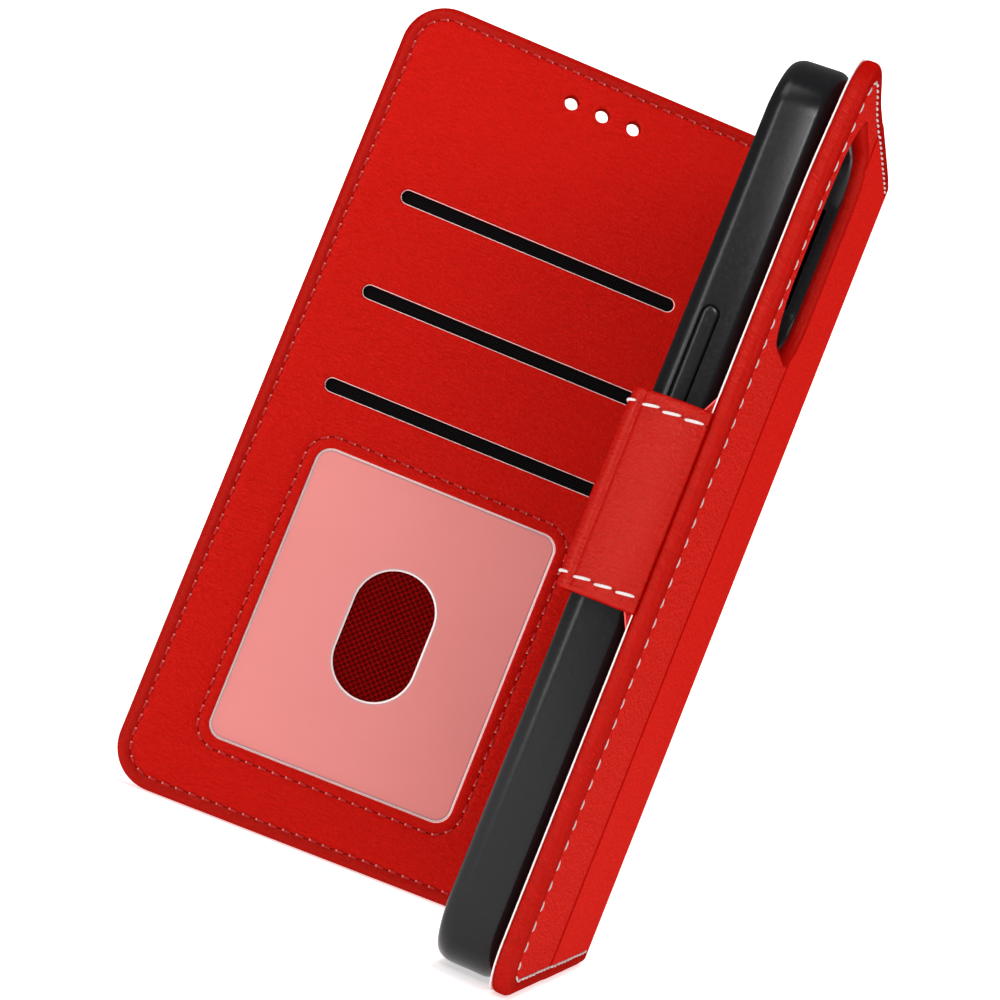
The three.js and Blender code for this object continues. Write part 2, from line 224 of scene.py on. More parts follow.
class Plate:
    """One skin of a cover: a height field over (s, z) with rounded edges, plus
    the rings that carry each edge round and under."""

    def __init__(self, free, cut, corner, edge_r, holes=(), lines=(), columns=(),
                 spacing=2.0, edge_step=1.0):
        # free: s of the free edge; cut: s where the skin is joined on
        self.free, self.cut, self.corner = free, cut, corner
        self.edge_r = edge_r
        self.holes = list(holes)  # (Round, edge radius, raw ring width)
        self.spacing = spacing
        self.dir = 1 if free > cut else -1
        far = cut - self.dir * 500
        self.outline = Round(
            min(free, far), 0, max(free, far), H, corner
        )
        self.lines = list(lines)
        self.columns = list(columns)
        self.edge_step = edge_step

    def open_ring(self, inset, step):
        """Open line from the cut, along the bottom, round the free edge, and
        back along the top to the cut."""
        r = max(self.corner - inset, 0.3)
        f, g = self.free - self.dir * inset, self.dir
        z0, z1 = inset, H - inset
        n = max(6, int(math.ceil(r * math.pi / 2 / 0.9)))
        pts = []
        length = abs(f - g * r - self.cut)
        xs = self.cut + g * self._along(length, step)
        pts += [(x, z0) for x in xs]
        for i in range(1, n + 1):
            t = math.radians(-90 + 90 * i / n)
            pts.append((f - g * r + g * r * math.cos(t), z0 + r + r * math.sin(t)))
        k = max(1, int(round((z1 - z0 - 2 * r) / step)))
        pts += [(f, z0 + r + (z1 - z0 - 2 * r) * j / k) for j in range(1, k + 1)]
        for i in range(1, n + 1):
            t = math.radians(90 * i / n)
            pts.append((f - g * r + g * r * math.cos(t), z1 - r + r * math.sin(t)))
        pts += [(x, z1) for x in xs[::-1][1:]]
        return np.array(pts)

    def _along(self, length, step):
        """Distances from the cut, fine where the skin folds."""
        marks = [0.0, length]
        for c in self.columns:
            d = abs(c - self.cut)
            if 0 < d < length:
                marks.append(d)
        marks = sorted(set(round(m, 4) for m in marks))
        out = [0.0]
        for a, b in zip(marks, marks[1:]):
            k = max(1, int(math.ceil((b - a) / step)))
            out += [a + (b - a) * j / k for j in range(1, k + 1)]
        return np.array(out)

    def build(self, height, skirt, ring_d=None):
        pts, edges, known = [], [], []

        def add_line(p, closed):
            base = len(pts)
            pts.extend(map(tuple, p))
            n = len(p)
            edges.extend((base + i, base + i + 1) for i in range(n - 1))
            if closed:
                edges.append((base + n - 1, base))
            known.append(p)
            return base, n

        er = self.edge_r
        ring_d = ring_d or [
            er * (1 - math.cos(math.radians(a))) for a in (0, 14, 28, 42, 56, 72, 90)
        ]
        loops = []
        for k, d in enumerate(ring_d):
            b, n = add_line(self.open_ring(d, self.edge_step), False)
            if k == 0:
                loops.append(("outer", b, n))
        # the cut itself
        z_in = H - 2 * ring_d[-1]
        k = max(2, int(round(z_in / self.edge_step)))
        zz = [ring_d[-1] + z_in * j / k for j in range(1, k)]
        add_line(np.array([(self.cut, z) for z in zz]), False)
        for hole, r, raw in self.holes:
            ds = [0.0] + ([raw] if raw else [])
            ds += [raw + r * (1 - math.cos(math.radians(a))) for a in (20, 40, 60, 90)]
            if not raw:
                ds = [r * (1 - math.cos(math.radians(a))) for a in (0, 20, 40, 60, 90)]
            for j, d in enumerate(ds):
                step = 0.6 if min(hole.c[2] - hole.c[0], hole.c[3] - hole.c[1]) > 5 else 0.35
                b, n = add_line(hole.loop(d, max(step, 0.3)), True)
                if j == 0:
                    loops.append((hole, b, n))
        for line in self.lines:
            add_line(line, False)
        # interior points
        s_vals = self.cut + self.dir * self._along(abs(self.free - self.cut), self.spacing)
        z_vals = np.linspace(0, H, int(round(H / self.spacing)) + 1)
        grid = np.array([(s, z) for s in s_vals[1:-1] for z in z_vals[1:-1]])
        d_out = -self.outline.dist(grid)
        keep = d_out > er + 0.35
        for hole, r, raw in self.holes:
            keep &= hole.dist(grid) > r + raw + 0.35
        grid = grid[keep]
        allk = np.concatenate(known)
        from mathutils.kdtree import KDTree

        kd = KDTree(len(allk))
        for i, p in enumerate(allk):
            kd.insert((p[0], p[1], 0), i)
        kd.balance()
        grid = [g for g in grid if kd.find((g[0], g[1], 0))[2] > 0.4]
        base_n = len(pts)
        pts.extend(map(tuple, grid))
        v, e, f, ov, oe, of_ = delaunay_2d_cdt(
            [Vector(p) for p in pts], edges, [], 0, 1e-5, True
        )
        P = np.array([tuple(x) for x in v])
        F = np.array([tuple(x) for x in f if len(x) == 3])
        C = P[F].mean(axis=1)
        ok = (-self.outline.dist(C) > 1e-5) & (
            (C[:, 0] - self.cut) * self.dir > 1e-5
        )
        for hole, r, raw in self.holes:
            ok &= hole.dist(C) > 1e-5
        area = np.abs(np.cross(P[F[:, 1]] - P[F[:, 0]], P[F[:, 2]] - P[F[:, 0]]))
        ok &= area > 1e-7
        F = F[ok]
        C = C[ok]
        new_of = {}
        for i, src in enumerate(ov):
            for q in src:
                new_of[q] = i
        d_out = -self.outline.dist(P)
        Hh = height(P)
        lower = er - er * bulge(d_out, er)
        Hh = Hh - np.where(d_out < er, lower, 0)
        index = np.zeros(len(F), int)
        for hole, r, raw in self.holes:
            d = hole.dist(P)
            Hh = Hh - np.where(d < r + raw, r - r * bulge(np.maximum(d - raw, 0), r), 0)
            if raw:
                index[hole.dist(C) < raw] = 1
        verts = [(p[0], p[1], h) for p, h in zip(P, Hh)]
        faces = [tuple(t) for t in F]
        index = list(index)
        # skirts
        for what, b, n in loops:
            chain = [new_of[b + i] for i in range(n)]
            closed = what != "outer"
            prev = chain
            levels = skirt["outer"] if what == "outer" else skirt.get("hole", [])
            for d, h, mat in levels:
                ring = (
                    self.open_ring(d, self.edge_step)
                    if what == "outer"
                    else what.loop(d, 0.6 if min(what.c[2] - what.c[0], what.c[3] - what.c[1]) > 5 else 0.35)
                )
                if len(ring) != n:  # an inset that changes the count of points
                    old = np.array([verts[i][:2] for i in chain])
                    c = old.mean(axis=0)
                    ring = self._match(what, old, d)
                start = len(verts)
                verts += [(p[0], p[1], h) for p in ring]
                cur = list(range(start, start + n))
                m = n if closed else n - 1
                for i in range(m):
                    j = (i + 1) % n
                    quad = (prev[i], prev[j], cur[j], cur[i])
                    # seen from the skin's own side the loop runs with the
                    # material on its left for the outline
                    if what == "outer":
                        quad = quad[::-1] if self.dir > 0 else quad
                    faces.append(quad)
                    index.append(mat)
                prev = cur
        V = np.array(verts)
        used = np.zeros(len(V), bool)
        for f_ in faces:
            used[list(f_)] = True
        remap = -np.ones(len(V), int)
        remap[used] = np.arange(used.sum())
        V = V[used]
        faces = [tuple(int(remap[i]) for i in f_) for f_ in faces]
        return V, faces, index

    def _match(self, what, old, d):
        if what == "outer":
            c = np.clip(
                old,
                [min(self.free, self.cut - self.dir * 50) + self.corner, self.corner],
                [max(self.free, self.cut - self.dir * 50) - self.corner, H - self.corner],
            )
            v = old - c
            ln = np.linalg.norm(v, axis=1, keepdims=True)
            return old - v / np.maximum(ln, 1e-9) * d
        a0, b0, a1, b1 = what.c
        c = np.clip(old, [a0 + what.r, b0 + what.r], [a1 - what.r, b1 - what.r])
        v = old - c
        ln = np.linalg.norm(v, axis=1, keepdims=True)
        return old + v / np.maximum(ln, 1e-9) * d


def fix_normals(o, flip=False):
    bm = bmesh.new()
    bm.from_mesh(o.data)
    bmesh.ops.remove_doubles(bm, verts=bm.verts, dist=1e-7)
    bmesh.ops.recalc_face_normals(bm, faces=bm.faces)
    if flip:
        bmesh.ops.reverse_faces(bm, faces=bm.faces)
    bm.to_mesh(o.data)
    bm.free()


def loft(name, loops, mats, cap0=True, cap1=True, index=None, uv=None, ring=True):
    """Skin through loops of equal length, in millimetres."""
    n = len(loops[0])
    V = row(np.concatenate([np.asarray(l, float) for l in loops]))
    faces, idx = [], []
    for k in range(len(loops) - 1):
        for i in range(n if ring else n - 1):
            j = (i + 1) % n
            faces.append((k * n + i, k * n + j, (k + 1) * n + j, (k + 1) * n + i))
            idx.append(index[k] if index else 0)
    if cap0:
        faces.append(tuple(range(n))[::-1])
        idx.append(index[0] if index else 0)
    if cap1:
        b = (len(loops) - 1) * n
        faces.append(tuple(range(b, b + n)))
        idx.append(index[-1] if index else 0)
    o = new_object(name, V, faces, mats, idx, uv)
    fix_normals(o)
    return o


def sharpen(o, angle=40):
    """Marks the sharp edges, so that the rest shades smooth."""
    bm = bmesh.new()
    bm.from_mesh(o.data)
    lim = math.radians(angle)
    for e in bm.edges:
        if len(e.link_faces) == 2:
            e.smooth = e.calc_face_angle(0) < lim
    bm.to_mesh(o.data)
    bm.free()


# ----------------------------------------------------------------- materials
def lin(r, g, b):
    def f(c):
        c /= 255
        return c / 12.92 if c <= 0.04045 else ((c + 0.055) / 1.055) ** 2.4

    return (f(r), f(g), f(b), 1.0)


class Mat:
    """Short hand for a node material around one Principled shader."""

    def __init__(self, name):
        self.m = bpy.data.materials.new(name)
        self.m.use_nodes = True
        self.t = self.m.node_tree
        self.p = self.t.nodes["Principled BSDF"]

    def node(self, kind, **v):
        n = self.t.nodes.new(kind)
        for k, x in v.items():
            if hasattr(n, k) and k not in n.inputs:
                setattr(n, k, x)
            else:
                n.inputs[k].default_value = x
        return n

    def link(self, a, b):
        self.t.links.new(a, b)

    def set(self, **v):
        for k, x in v.items():
            self.p.inputs[k.replace("_", " ")].default_value = x

    def coords(self, kind="UV", scale=(1, 1, 1), rot=(0, 0, 0)):
        c = self.node("ShaderNodeTexCoord")
        m = self.node("ShaderNodeMapping")
        m.inputs["Scale"].default_value = scale
        m.inputs["Rotation"].default_value = rot
        self.link(c.outputs[kind], m.inputs["Vector"])
        return m.outputs["Vector"]

    def noise(self, vec, scale, detail=4, rough=0.55, distort=0.0):
        n = self.node("ShaderNodeTexNoise")
        n.inputs["Scale"].default_value = scale
        n.inputs["Detail"].default_value = detail
        n.inputs["Roughness"].default_value = rough
        n.inputs["Distortion"].default_value = distort
        self.link(vec, n.inputs["Vector"])
        return n.outputs["Fac"]

    def ramp(self, fac, stops, interp="LINEAR"):
        r = self.node("ShaderNodeValToRGB")
        r.color_ramp.interpolation = interp
        el = r.color_ramp.elements
        while len(el) < len(stops):
            el.new(0.5)
        for e, (pos, col) in zip(el, stops):
            e.position = pos
            e.color = col if len(col) == 4 else (*col, 1)
        self.link(fac, r.inputs["Fac"])
        return r.outputs["Color"]

    def math(self, op, a, b=None, clamp=False):
        n = self.node("ShaderNodeMath")
        n.operation = op
        n.use_clamp = clamp
        for i, x in enumerate((a, b)):
            if x is None:
                continue
            if isinstance(x, (int, float)):
                n.inputs[i].default_value = x
            else:
                self.link(x, n.inputs[i])
        return n.outputs[0]

    def mix(self, fac, a, b, kind="MIX"):
        n = self.node("ShaderNodeMix")
        n.data_type = "RGBA"
        n.blend_type = kind
        for i, x in ((0, fac), (6, a), (7, b)):
            if isinstance(x, (int, float, tuple)):
                n.inputs[i].default_value = x
            else:
                self.link(x, n.inputs[i])
        return n.outputs[2]

    def bump(self, height, distance, strength=1.0, normal=None):
        n = self.node("ShaderNodeBump")
        n.inputs["Strength"].default_value = strength
        n.inputs["Distance"].default_value = distance
        self.link(height, n.inputs["Height"])
        if normal is not None:
            self.link(normal, n.inputs["Normal"])
        return n.outputs["Normal"]


def grey(v):
    return (v, v, v, 1)


def leather(name, rgb, pebble=0.5, wrinkle=0.5, rough=0.48, depth=0.00010,
            variation=0.10, gloss=0.03, stretch=(1, 1, 1), fold=1.0, painted_glint=0.0):
    """Coated leather: fine pebble grain with shallow wrinkles over it."""
    m = Mat(name)
    uv = m.coords("UV", stretch)
    base = lin(*rgb)
    # painted shade for the folds and painted highlight for the grain tops
    painted_groove_shade = tuple(c * 0.72 for c in base[:3]) + (1,)
    grain_highlight = tuple(min(1, c * 1.16 + 0.006) for c in base[:3]) + (1,)
    # pores and pebbles, about 0.45 mm across
    warp = m.noise(uv, 0.9, 3, 0.5)
    vor = m.node("ShaderNodeTexVoronoi")
    vor.feature = "SMOOTH_F1"
    vor.inputs["Scale"].default_value = 2.1
    vor.inputs["Smoothness"].default_value = 0.45
    m.link(uv, vor.inputs["Vector"])
    peb = m.ramp(vor.outputs["Distance"], [(0.05, grey(1)), (0.75, grey(0))])
    fine = m.noise(uv, 3.4, 5, 0.62, 0.6)
    # wrinkles run across the piece, longer than they are high
    uvw = m.coords("UV", (0.75 * fold * stretch[0], 1.9 * fold * stretch[1], 1))
    wr = m.noise(uvw, 0.95, 4, 0.55, 0.9)
    crease = m.math("ABSOLUTE", m.math("SUBTRACT", wr, 0.5))
    crease = m.math("MULTIPLY", crease, 5.5, True)  # 0 in the fold, 1 beside it
    h1 = m.math("MULTIPLY", peb, pebble)
    h2 = m.math("MULTIPLY", fine, 0.65 * pebble + 0.12)
    h3 = m.math("MULTIPLY", crease, wrinkle)
    hgt = m.math("ADD", m.math("ADD", h1, h2), h3)
    # the colour is painted darker in the folds (painted shade) and lighter on the grain tops (painted highlight),
    # with a random tone from the warp noise
    relief_shade_and_tone = m.math("ADD", m.math("MULTIPLY", hgt, 0.45), m.math("MULTIPLY", warp, 0.5))
    col = m.ramp(relief_shade_and_tone, [(0.18, painted_groove_shade), (0.52, base), (0.95, grain_highlight)])
    col = m.mix(1 - variation * 4 if variation < 0.25 else 0.0, col, base)
    # painted highlight: pink spots stand in for glints on the grain tops, with darker spots as painted shade beside
    # them
    if painted_glint:  # the tops of the grain catch the light
        glint_mask = m.ramp(m.noise(uv, 1.9, 3, 0.7), [(0.50, grey(0)), (0.68, grey(1))])
        col = m.mix(m.math("MULTIPLY", glint_mask, painted_glint), col, lin(min(255, rgb[0] + 34), rgb[1] + 70, rgb[2] + 62))
        glint_shade_mask = m.ramp(m.noise(uv, 1.5, 3, 0.7), [(0.30, grey(1)), (0.46, grey(0))])
        col = m.mix(m.math("MULTIPLY", glint_shade_mask, painted_glint), col, lin(rgb[0] * 0.72, rgb[1] * 0.3, rgb[2] * 0.3))
    m.link(col, m.p.inputs["Base Color"])
    r = m.math("ADD", m.math("MULTIPLY", fine, 0.16), rough - 0.08)
    m.link(r, m.p.inputs["Roughness"])
    nrm = m.bump(hgt, depth)
    m.link(nrm, m.p.inputs["Normal"])
    m.set(Specular_IOR_Level=0.0)
    # the finish shines in its own red, so a little red gloss goes over the body
    g = m.node("ShaderNodeBsdfGlossy")
    g.inputs["Color"].default_value = (1.0, 0.24, 0.17, 1)
    g.inputs["Roughness"].default_value = rough * 0.8
    m.link(nrm, g.inputs["Normal"])
    mx = m.node("ShaderNodeMixShader")
    mx.inputs[0].default_value = gloss
    m.link(m.p.outputs[0], mx.inputs[1])
    m.link(g.outputs[0], mx.inputs[2])
    out = m.t.nodes["Material Output"]
    m.link(mx.outputs[0], out.inputs["Surface"])
    return m.m


def plain_grain(name, rgb, rough, scale, depth, vary=0.2, spec=0.5, metal=0.0, kind="Object"):
    m = Mat(name)
    c = m.coords(kind, (1, 1, 1))
    n = m.noise(c, scale, 5, 0.6)
    base = lin(*rgb)
    lo = tuple(v * (1 - vary) for v in base[:3]) + (1,)
    hi = tuple(min(1, v * (1 + vary)) for v in base[:3]) + (1,)
    m.link(m.ramp(n, [(0.3, lo), (0.7, hi)]), m.p.inputs["Base Color"])
    m.link(m.math("ADD", m.math("MULTIPLY", n, 0.15), rough - 0.07), m.p.inputs["Roughness"])
    m.link(m.bump(n, depth), m.p.inputs["Normal"])
    m.set(Specular_IOR_Level=spec, Metallic=metal)
    return m.m


def weave(name, warp_rgb, weft_rgb, gap_shade_rgb, per_mm, rough=0.85, depth=0.0001, ribs=False):
    """Plain weave on the UV in millimetres: two sets of threads, one over the other."""
    m = Mat(name)
    c = m.node("ShaderNodeTexCoord")
    sep = m.node("ShaderNodeSeparateXYZ")
    wob = m.noise(m.coords("UV"), 0.8, 3, 0.5)
    m.link(c.outputs["UV"], sep.inputs[0])
    u = m.math("ADD", sep.outputs[0], m.math("MULTIPLY", wob, 0.25))
    v = m.math("ADD", sep.outputs[1], m.math("MULTIPLY", wob, 0.25))
    k = 2 * math.pi * per_mm
    su = m.math("SINE", m.math("MULTIPLY", u, k))
    sv = m.math("SINE", m.math("MULTIPLY", v, k))
    au, av = m.math("ABSOLUTE", su), m.math("ABSOLUTE", sv)
    check = m.math("MULTIPLY", m.math("SINE", m.math("MULTIPLY", u, k / 2)),
                   m.math("SINE", m.math("MULTIPLY", v, k / 2)))
    over = m.math("GREATER_THAN", check, 0.0)
    if ribs:
        hgt = av
        col = m.mix(0.6, lin(*warp_rgb), lin(*weft_rgb))
    else:
        hgt = m.math("ADD", m.math("MULTIPLY", over, au),
                     m.math("MULTIPLY", m.math("SUBTRACT", 1.0, over), av))
        col = m.mix(over, lin(*warp_rgb), lin(*weft_rgb))
    fuzz = m.noise(m.coords("UV"), 9.0, 4, 0.7)
    # painted shade and painted highlight: the colour darkens into the gaps between threads and lightens on their
    # crowns
    lit = m.ramp(m.math("MULTIPLY", hgt, m.math("ADD", fuzz, 0.5)), [(0.05, grey(0)), (0.8, grey(1))])
    col = m.mix(lit, lin(*gap_shade_rgb), col)
    m.link(col, m.p.inputs["Base Color"])
    m.set(Roughness=rough, Specular_IOR_Level=0.03)
    m.link(m.bump(m.math("ADD", hgt, m.math("MULTIPLY", fuzz, 0.4)), depth), m.p.inputs["Normal"])
    return m.m


def thread(name, rgb, rough=0.55):
    """Twisted thread: slanted plies along the UV of each stitch."""
    m = Mat(name)
    w = m.node("ShaderNodeTexWave")
    w.wave_type = "BANDS"
    w.bands_direction = "DIAGONAL"
    w.inputs["Scale"].default_value = 2.4
    w.inputs["Distortion"].default_value = 0.6
    m.link(m.coords("UV"), w.inputs["Vector"])
    base = lin(*rgb)
    # painted shade: the grooves between the plies are painted darker
    painted_groove_shade = tuple(v * 0.62 for v in base[:3]) + (1,)
    m.link(m.ramp(w.outputs["Fac"], [(0.1, painted_groove_shade), (0.6, base)]), m.p.inputs["Base Color"])
    m.set(Roughness=rough, Specular_IOR_Level=0.4)
    m.link(m.bump(w.outputs["Fac"], 0.00008), m.p.inputs["Normal"])
    return m.m


M_PANEL = leather("leather_panel", (190, 9, 4), pebble=0.3, wrinkle=0.6, rough=0.42, depth=0.00015, gloss=0.026, variation=0.15, fold=0.95, painted_glint=0.05)
# the near strip of the back gets stronger painted glints than the far part beyond the step
M_BACK = leather("leather_back", (208, 18, 12), pebble=0.9, wrinkle=0.15, rough=0.40, depth=0.00030, variation=0.2, gloss=0.035, painted_glint=0.55)
M_BACK_FAR = leather("leather_back_far", (208, 21, 15), pebble=0.6, wrinkle=0.15, rough=0.40, depth=0.00018, variation=0.2, gloss=0.035, painted_glint=0.22)
# painted shade: a darker leather laid along the groove of the step
M_CREASE_SHADE = leather("leather_crease", (172, 10, 6), pebble=0.4, wrinkle=0.15, rough=0.5, depth=0.00012, gloss=0.01)
M_SMOOTH = leather("leather_smooth", (168, 8, 4), pebble=0.2, wrinkle=0.35, rough=0.34, depth=0.00012, gloss=0.03, variation=0.2, painted_glint=0.05)
M_STRAP = leather("leather_strap", (164, 4, 2), pebble=0.5, wrinkle=0.5, rough=0.20, depth=0.00010, gloss=0.065, variation=0.2, painted_glint=0.05)
M_LINING = leather("leather_lining", (176, 12, 8), pebble=0.5, wrinkle=0.2, rough=0.6, depth=0.0001, gloss=0.02)
M_RAW = plain_grain("raw_edge", (250, 226, 224), 0.8, 2500, 0.00004, 0.08, 0.2)
M_RAW_RED = plain_grain("raw_edge_tinted", (236, 92, 92), 0.8, 2500, 0.00004, 0.12, 0.2)
M_TPU = plain_grain("tpu_satin", (18, 18, 20), 0.22, 1800, 0.000006, 0.10, 0.25)
M_WHITE = thread("thread_white", (250, 240, 238))
M_RED = thread("thread_red", (212, 34, 30))
# painted highlight: pale pink stands for the glint at one end of each red stitch
M_RED_GLINT = thread("thread_red_worn", (250, 165, 158))
# painted shade: the dark colour standing for the needle holes
M_HOLE_SHADE = plain_grain("needle_hole", (74, 3, 2), 0.9, 4000, 0.00002, 0.2, 0.1)
M_FABRIC = weave("pocket_fabric", (22, 21, 22), (16, 15, 16), (4, 4, 4), 1.15, depth=0.00014, ribs=True)
M_CLOTH = weave("id_backing_cloth", (150, 6, 6), (90, 0, 0), (22, 0, 0), 1.5, depth=0.00010)
M_FILM = None
M_BOARD = plain_grain("greyboard", (141, 130, 117), 0.9, 900, 0.00008, 0.15, 0.2)
M_FOAM = plain_grain("foam", (53, 49, 47), 0.95, 2600, 0.0002, 0.3, 0.1)
M_TAPE = plain_grain("tape", (216, 216, 210), 0.8, 1500, 0.00003, 0.06, 0.3)
M_STEEL = plain_grain("steel", (154, 157, 161), 0.35, 700, 0.00001, 0.1, 0.5, 1.0)
M_MAGNET = plain_grain("magnet", (111, 113, 116), 0.35, 900, 0.00001, 0.1, 0.5, 1.0)


def film_material():
    """Frosted plastic window over a red backing: pale, milky."""
    m = Mat("frosted_film")
    n = m.noise(m.coords("UV"), 0.05, 3, 0.5)
    f = m.noise(m.coords("UV"), 14.0, 3, 0.6)
    t = m.math("ADD", m.math("MULTIPLY", n, 0.7), m.math("MULTIPLY", f, 0.3))
    m.link(m.ramp(t, [(0.3, lin(221, 130, 126)), (0.7, lin(224, 134, 130))]), m.p.inputs["Base Color"])
    m.set(Roughness=0.42, Specular_IOR_Level=0.35, Coat_Weight=0.12, Coat_Roughness=0.3)
    m.link(m.bump(f, 0.00001), m.p.inputs["Normal"])
    return m.m


M_FILM = film_material()
M_FILM_EDGE = plain_grain("film_edge", (250, 232, 230), 0.4, 2500, 0.00001, 0.04, 0.4)
M_FILM_LINE = plain_grain("film_bevel", (196, 148, 148), 0.4, 2500, 0.00001, 0.06, 0.4)

# -------------------------------------------------------------------- camera
cam = bpy.data.objects.new("camera", bpy.data.cameras.new("camera"))
bpy.context.scene.collection.objects.link(cam)
cam.data.sensor_width = 36
cam.data.lens = 81.562
cam.data.clip_start = 0.01
a, e, r = map(math.radians, (102.941, -2.732, 21.824))
d = Vector((-math.sin(a) * math.cos(e), math.cos(a) * math.cos(e), -math.sin(e)))
right = d.cross(Vector((0, 0, 1))).normalized()
up = right.cross(d)
X = math.cos(r) * right + math.sin(r) * up
Y = -math.sin(r) * right + math.cos(r) * up
cam.matrix_world = (
    Matrix.Translation((0.403336, 0.101107, 0.056844))
    @ Matrix((X, Y, -d)).transposed().to_4x4()
)
bpy.context.scene.camera = cam

# -------------------------------------------------------------------- covers
HOLE = Round(43 - 35, 117, 43 - 0, 156.4, 10)  # camera opening, in s and z


def sfree(l):
    return FREE - l


def front_rect(l0, l1, z0, z1, r):
    return Round(sfree(l1), z0, sfree(l0), z1, r)


SLOTS = [front_rect(11.5, 69.7, z - 1.35, z + 1.35, 1.34) for z in (126.6, 106.4, 86.7)]
WINDOW = front_rect(15.3, 65.8, 14.5, 75.2, 3.2)
THUMB = front_rect(40.7 - 8.15, 40.7 + 8.15, 44.7 - 13.2, 44.7 + 13.2, 8.1)
WIN_SEAM = front_rect(15.3 - 2.35, 65.8 + 2.35, 14.5 - 2.35, 75.2 + 2.35, 5.5)
DOTS = [front_rect(l - 1.4, l + 1.4, 155.1, 157.9, 1.39) for l in (35.8, 42.4, 49.1)]


def fold_columns(fold, step):
    n = int(math.ceil((fold[1] - fold[0]) / step))
    return list(np.linspace(fold[0], fold[1], n + 1))


back_columns = (
    [-3 + BACK_FOLD[0], -1 + BACK_FOLD[0]]
    + fold_columns(BACK_FOLD, 0.35)
    + [BACK_FOLD[1] + 1]
)
front_columns = [FRONT_FOLD[0] - 1] + fold_columns(FRONT_FOLD, 0.5) + [FRONT_FOLD[1] + 1]
STEP_S = 43 - 3.6  # a shallow step runs up the back here


def ramp(v, a, b):
    return smooth((v - a) / (b - a))


def seam_dist_back(P):
    o = Round(0, 0, 500, H, 9)
    d = np.abs(-o.dist(P) - 3.0)
    return np.where(P[:, 0] > BACK_FOLD[0] - 0.6, 9, d)


def back_step(s):
    up = 0.14 * ramp(s, STEP_S - 0.2, STEP_S + 0.5) * (1 - ramp(s, 74, BACK_FOLD[0] - 1))
    return up - 0.16 * np.exp(-(((s - STEP_S) / 0.9) ** 2))


def back_height(P):
    s = P[:, 0]
    d = seam_dist_back(P)
    h = back_step(s)
    h = h - 0.20 * np.exp(-((d / 0.42) ** 2))
    edge = -Round(0, 0, 500, H, 9).dist(P)
    h = h + 0.10 * np.exp(-(((edge - 1.7) / 0.8) ** 2)) * (s < BACK_FOLD[0] - 0.6)
    h = h + 0.10 * np.exp(-((HOLE.dist(P) - 1.6) / 0.9) ** 2)
    return h


def rings_for(sec_plate, insets):
    return [sec_plate.open_ring(i, 1.0) for i in insets]


def make_skin(name, plate, sec, height, skirt, to_h, mats, bodies, fold, uv_shift=0.0):
    V, F, I = plate.build(height, skirt)
    s, z, h = V[:, 0], V[:, 1], V[:, 2]
    P = place(sec, s, z, to_h(h))
    # the grain follows the skin's own length, and runs on round the edges
    uv = np.stack([s + uv_shift + 0.35 * np.minimum(h, 0), z + 0.35 * np.minimum(h, 0)], -1)
    o = new_object(name, P, F, mats, I, uv)
    fix_normals(o)
    if bodies:
        m = sec.map(np.array(fold), np.array([0.0, 0.0]))
        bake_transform(o)
    return o


# outer skin, back half: face, rounded edge, and turned under the lining
p = Plate(0.0, SEC_BACK.length, 9, 1.5, holes=[(HOLE, 1.1, 0.0)],
          columns=back_columns + [STEP_S + q for q in (-2.0, -1.3, -0.75, -0.35, 0.0, 0.35, 0.75, 1.3, 2.0)],
          spacing=2.2)
p.lines = [ln for i in (2.3, 2.7, 3.0, 3.3, 3.7) for ln in [p.open_ring(i, 1.0)]]
TURN = [(0.0, -1.75, 2), (0.0, -2.45, 2), (0.10, -2.85, 2), (0.35, -3.15, 2), (0.9, -3.32, 2), (2.4, -3.34, 2)]
outer_back = make_skin(
    "cover_skin_back", p, SEC_BACK, back_height,
    {"outer": TURN, "hole": [(0.0, -1.6, 2), (0.0, -2.4, 2), (0.25, -3.2, 2), (0.5, -3.38, 2)]},
    lambda h: h, [M_BACK, M_RAW, M_SMOOTH, M_BACK_FAR, M_CREASE_SHADE], ("back_cover", "spine"), BACK_FOLD,
)


def paint(o, sec_rule):
    """Gives each face a material slot by a rule on its UV centre."""
    uv = o.data.uv_layers[0].data
    for poly in o.data.polygons:
        c = sum((uv[i].uv for i in poly.loop_indices), Vector((0, 0))) / poly.loop_total
        k = sec_rule(c.x, c.y, poly.material_index)
        if k is not None:
            poly.material_index = k


def back_rule(s, z, k):
    if k:
        return None
    inset = -Round(0, 0, 500, H, 9).dist(np.array([[s, z]]))[0]
    if s < BACK_FOLD[0] and inset < 3.0:
        return 2
    if HOLE.dist(np.array([[s, z]]))[0] < 1.3:
        return 2
    # painted shade along the groove of the step
    if abs(s - STEP_S) < 0.8:
        return 4
    # beyond the step the back takes the copy with weaker painted glints
    return 3 if s > STEP_S else None


paint(outer_back, back_rule)

# outer skin, front half
p = Plate(FREE, 0.0, FR, 1.35, holes=[(d_, 0.45, 0.0) for d_ in DOTS],
          columns=front_columns, spacing=2.4)
p.lines = [ln for i in (IN - 0.5, IN, IN + 0.5) for ln in [p.open_ring(i, 1.0)]]


def front_out_height(P):
    inset = -Round(-500, 0, FREE, H, FR).dist(P)
    on = P[:, 0] > FRONT_FOLD[1] + 0.6
    return np.where(on, -0.18 * np.exp(-(((inset - IN) / 0.45) ** 2)), 0)


outer_front = make_skin(
    "cover_skin_front", p, SEC_FRONT, front_out_height,
    {"outer": [(0.0, -1.5, 0), (0.12, -1.68, 0), (0.5, -1.7, 0)],
     "hole": [(0.0, -0.9, 0), (0.0, -1.72, 0)]},
    lambda h: h, [M_BACK, M_RAW, M_SMOOTH], ("spine", "front_cover"), FRONT_FOLD,
    uv_shift=91.0,
)

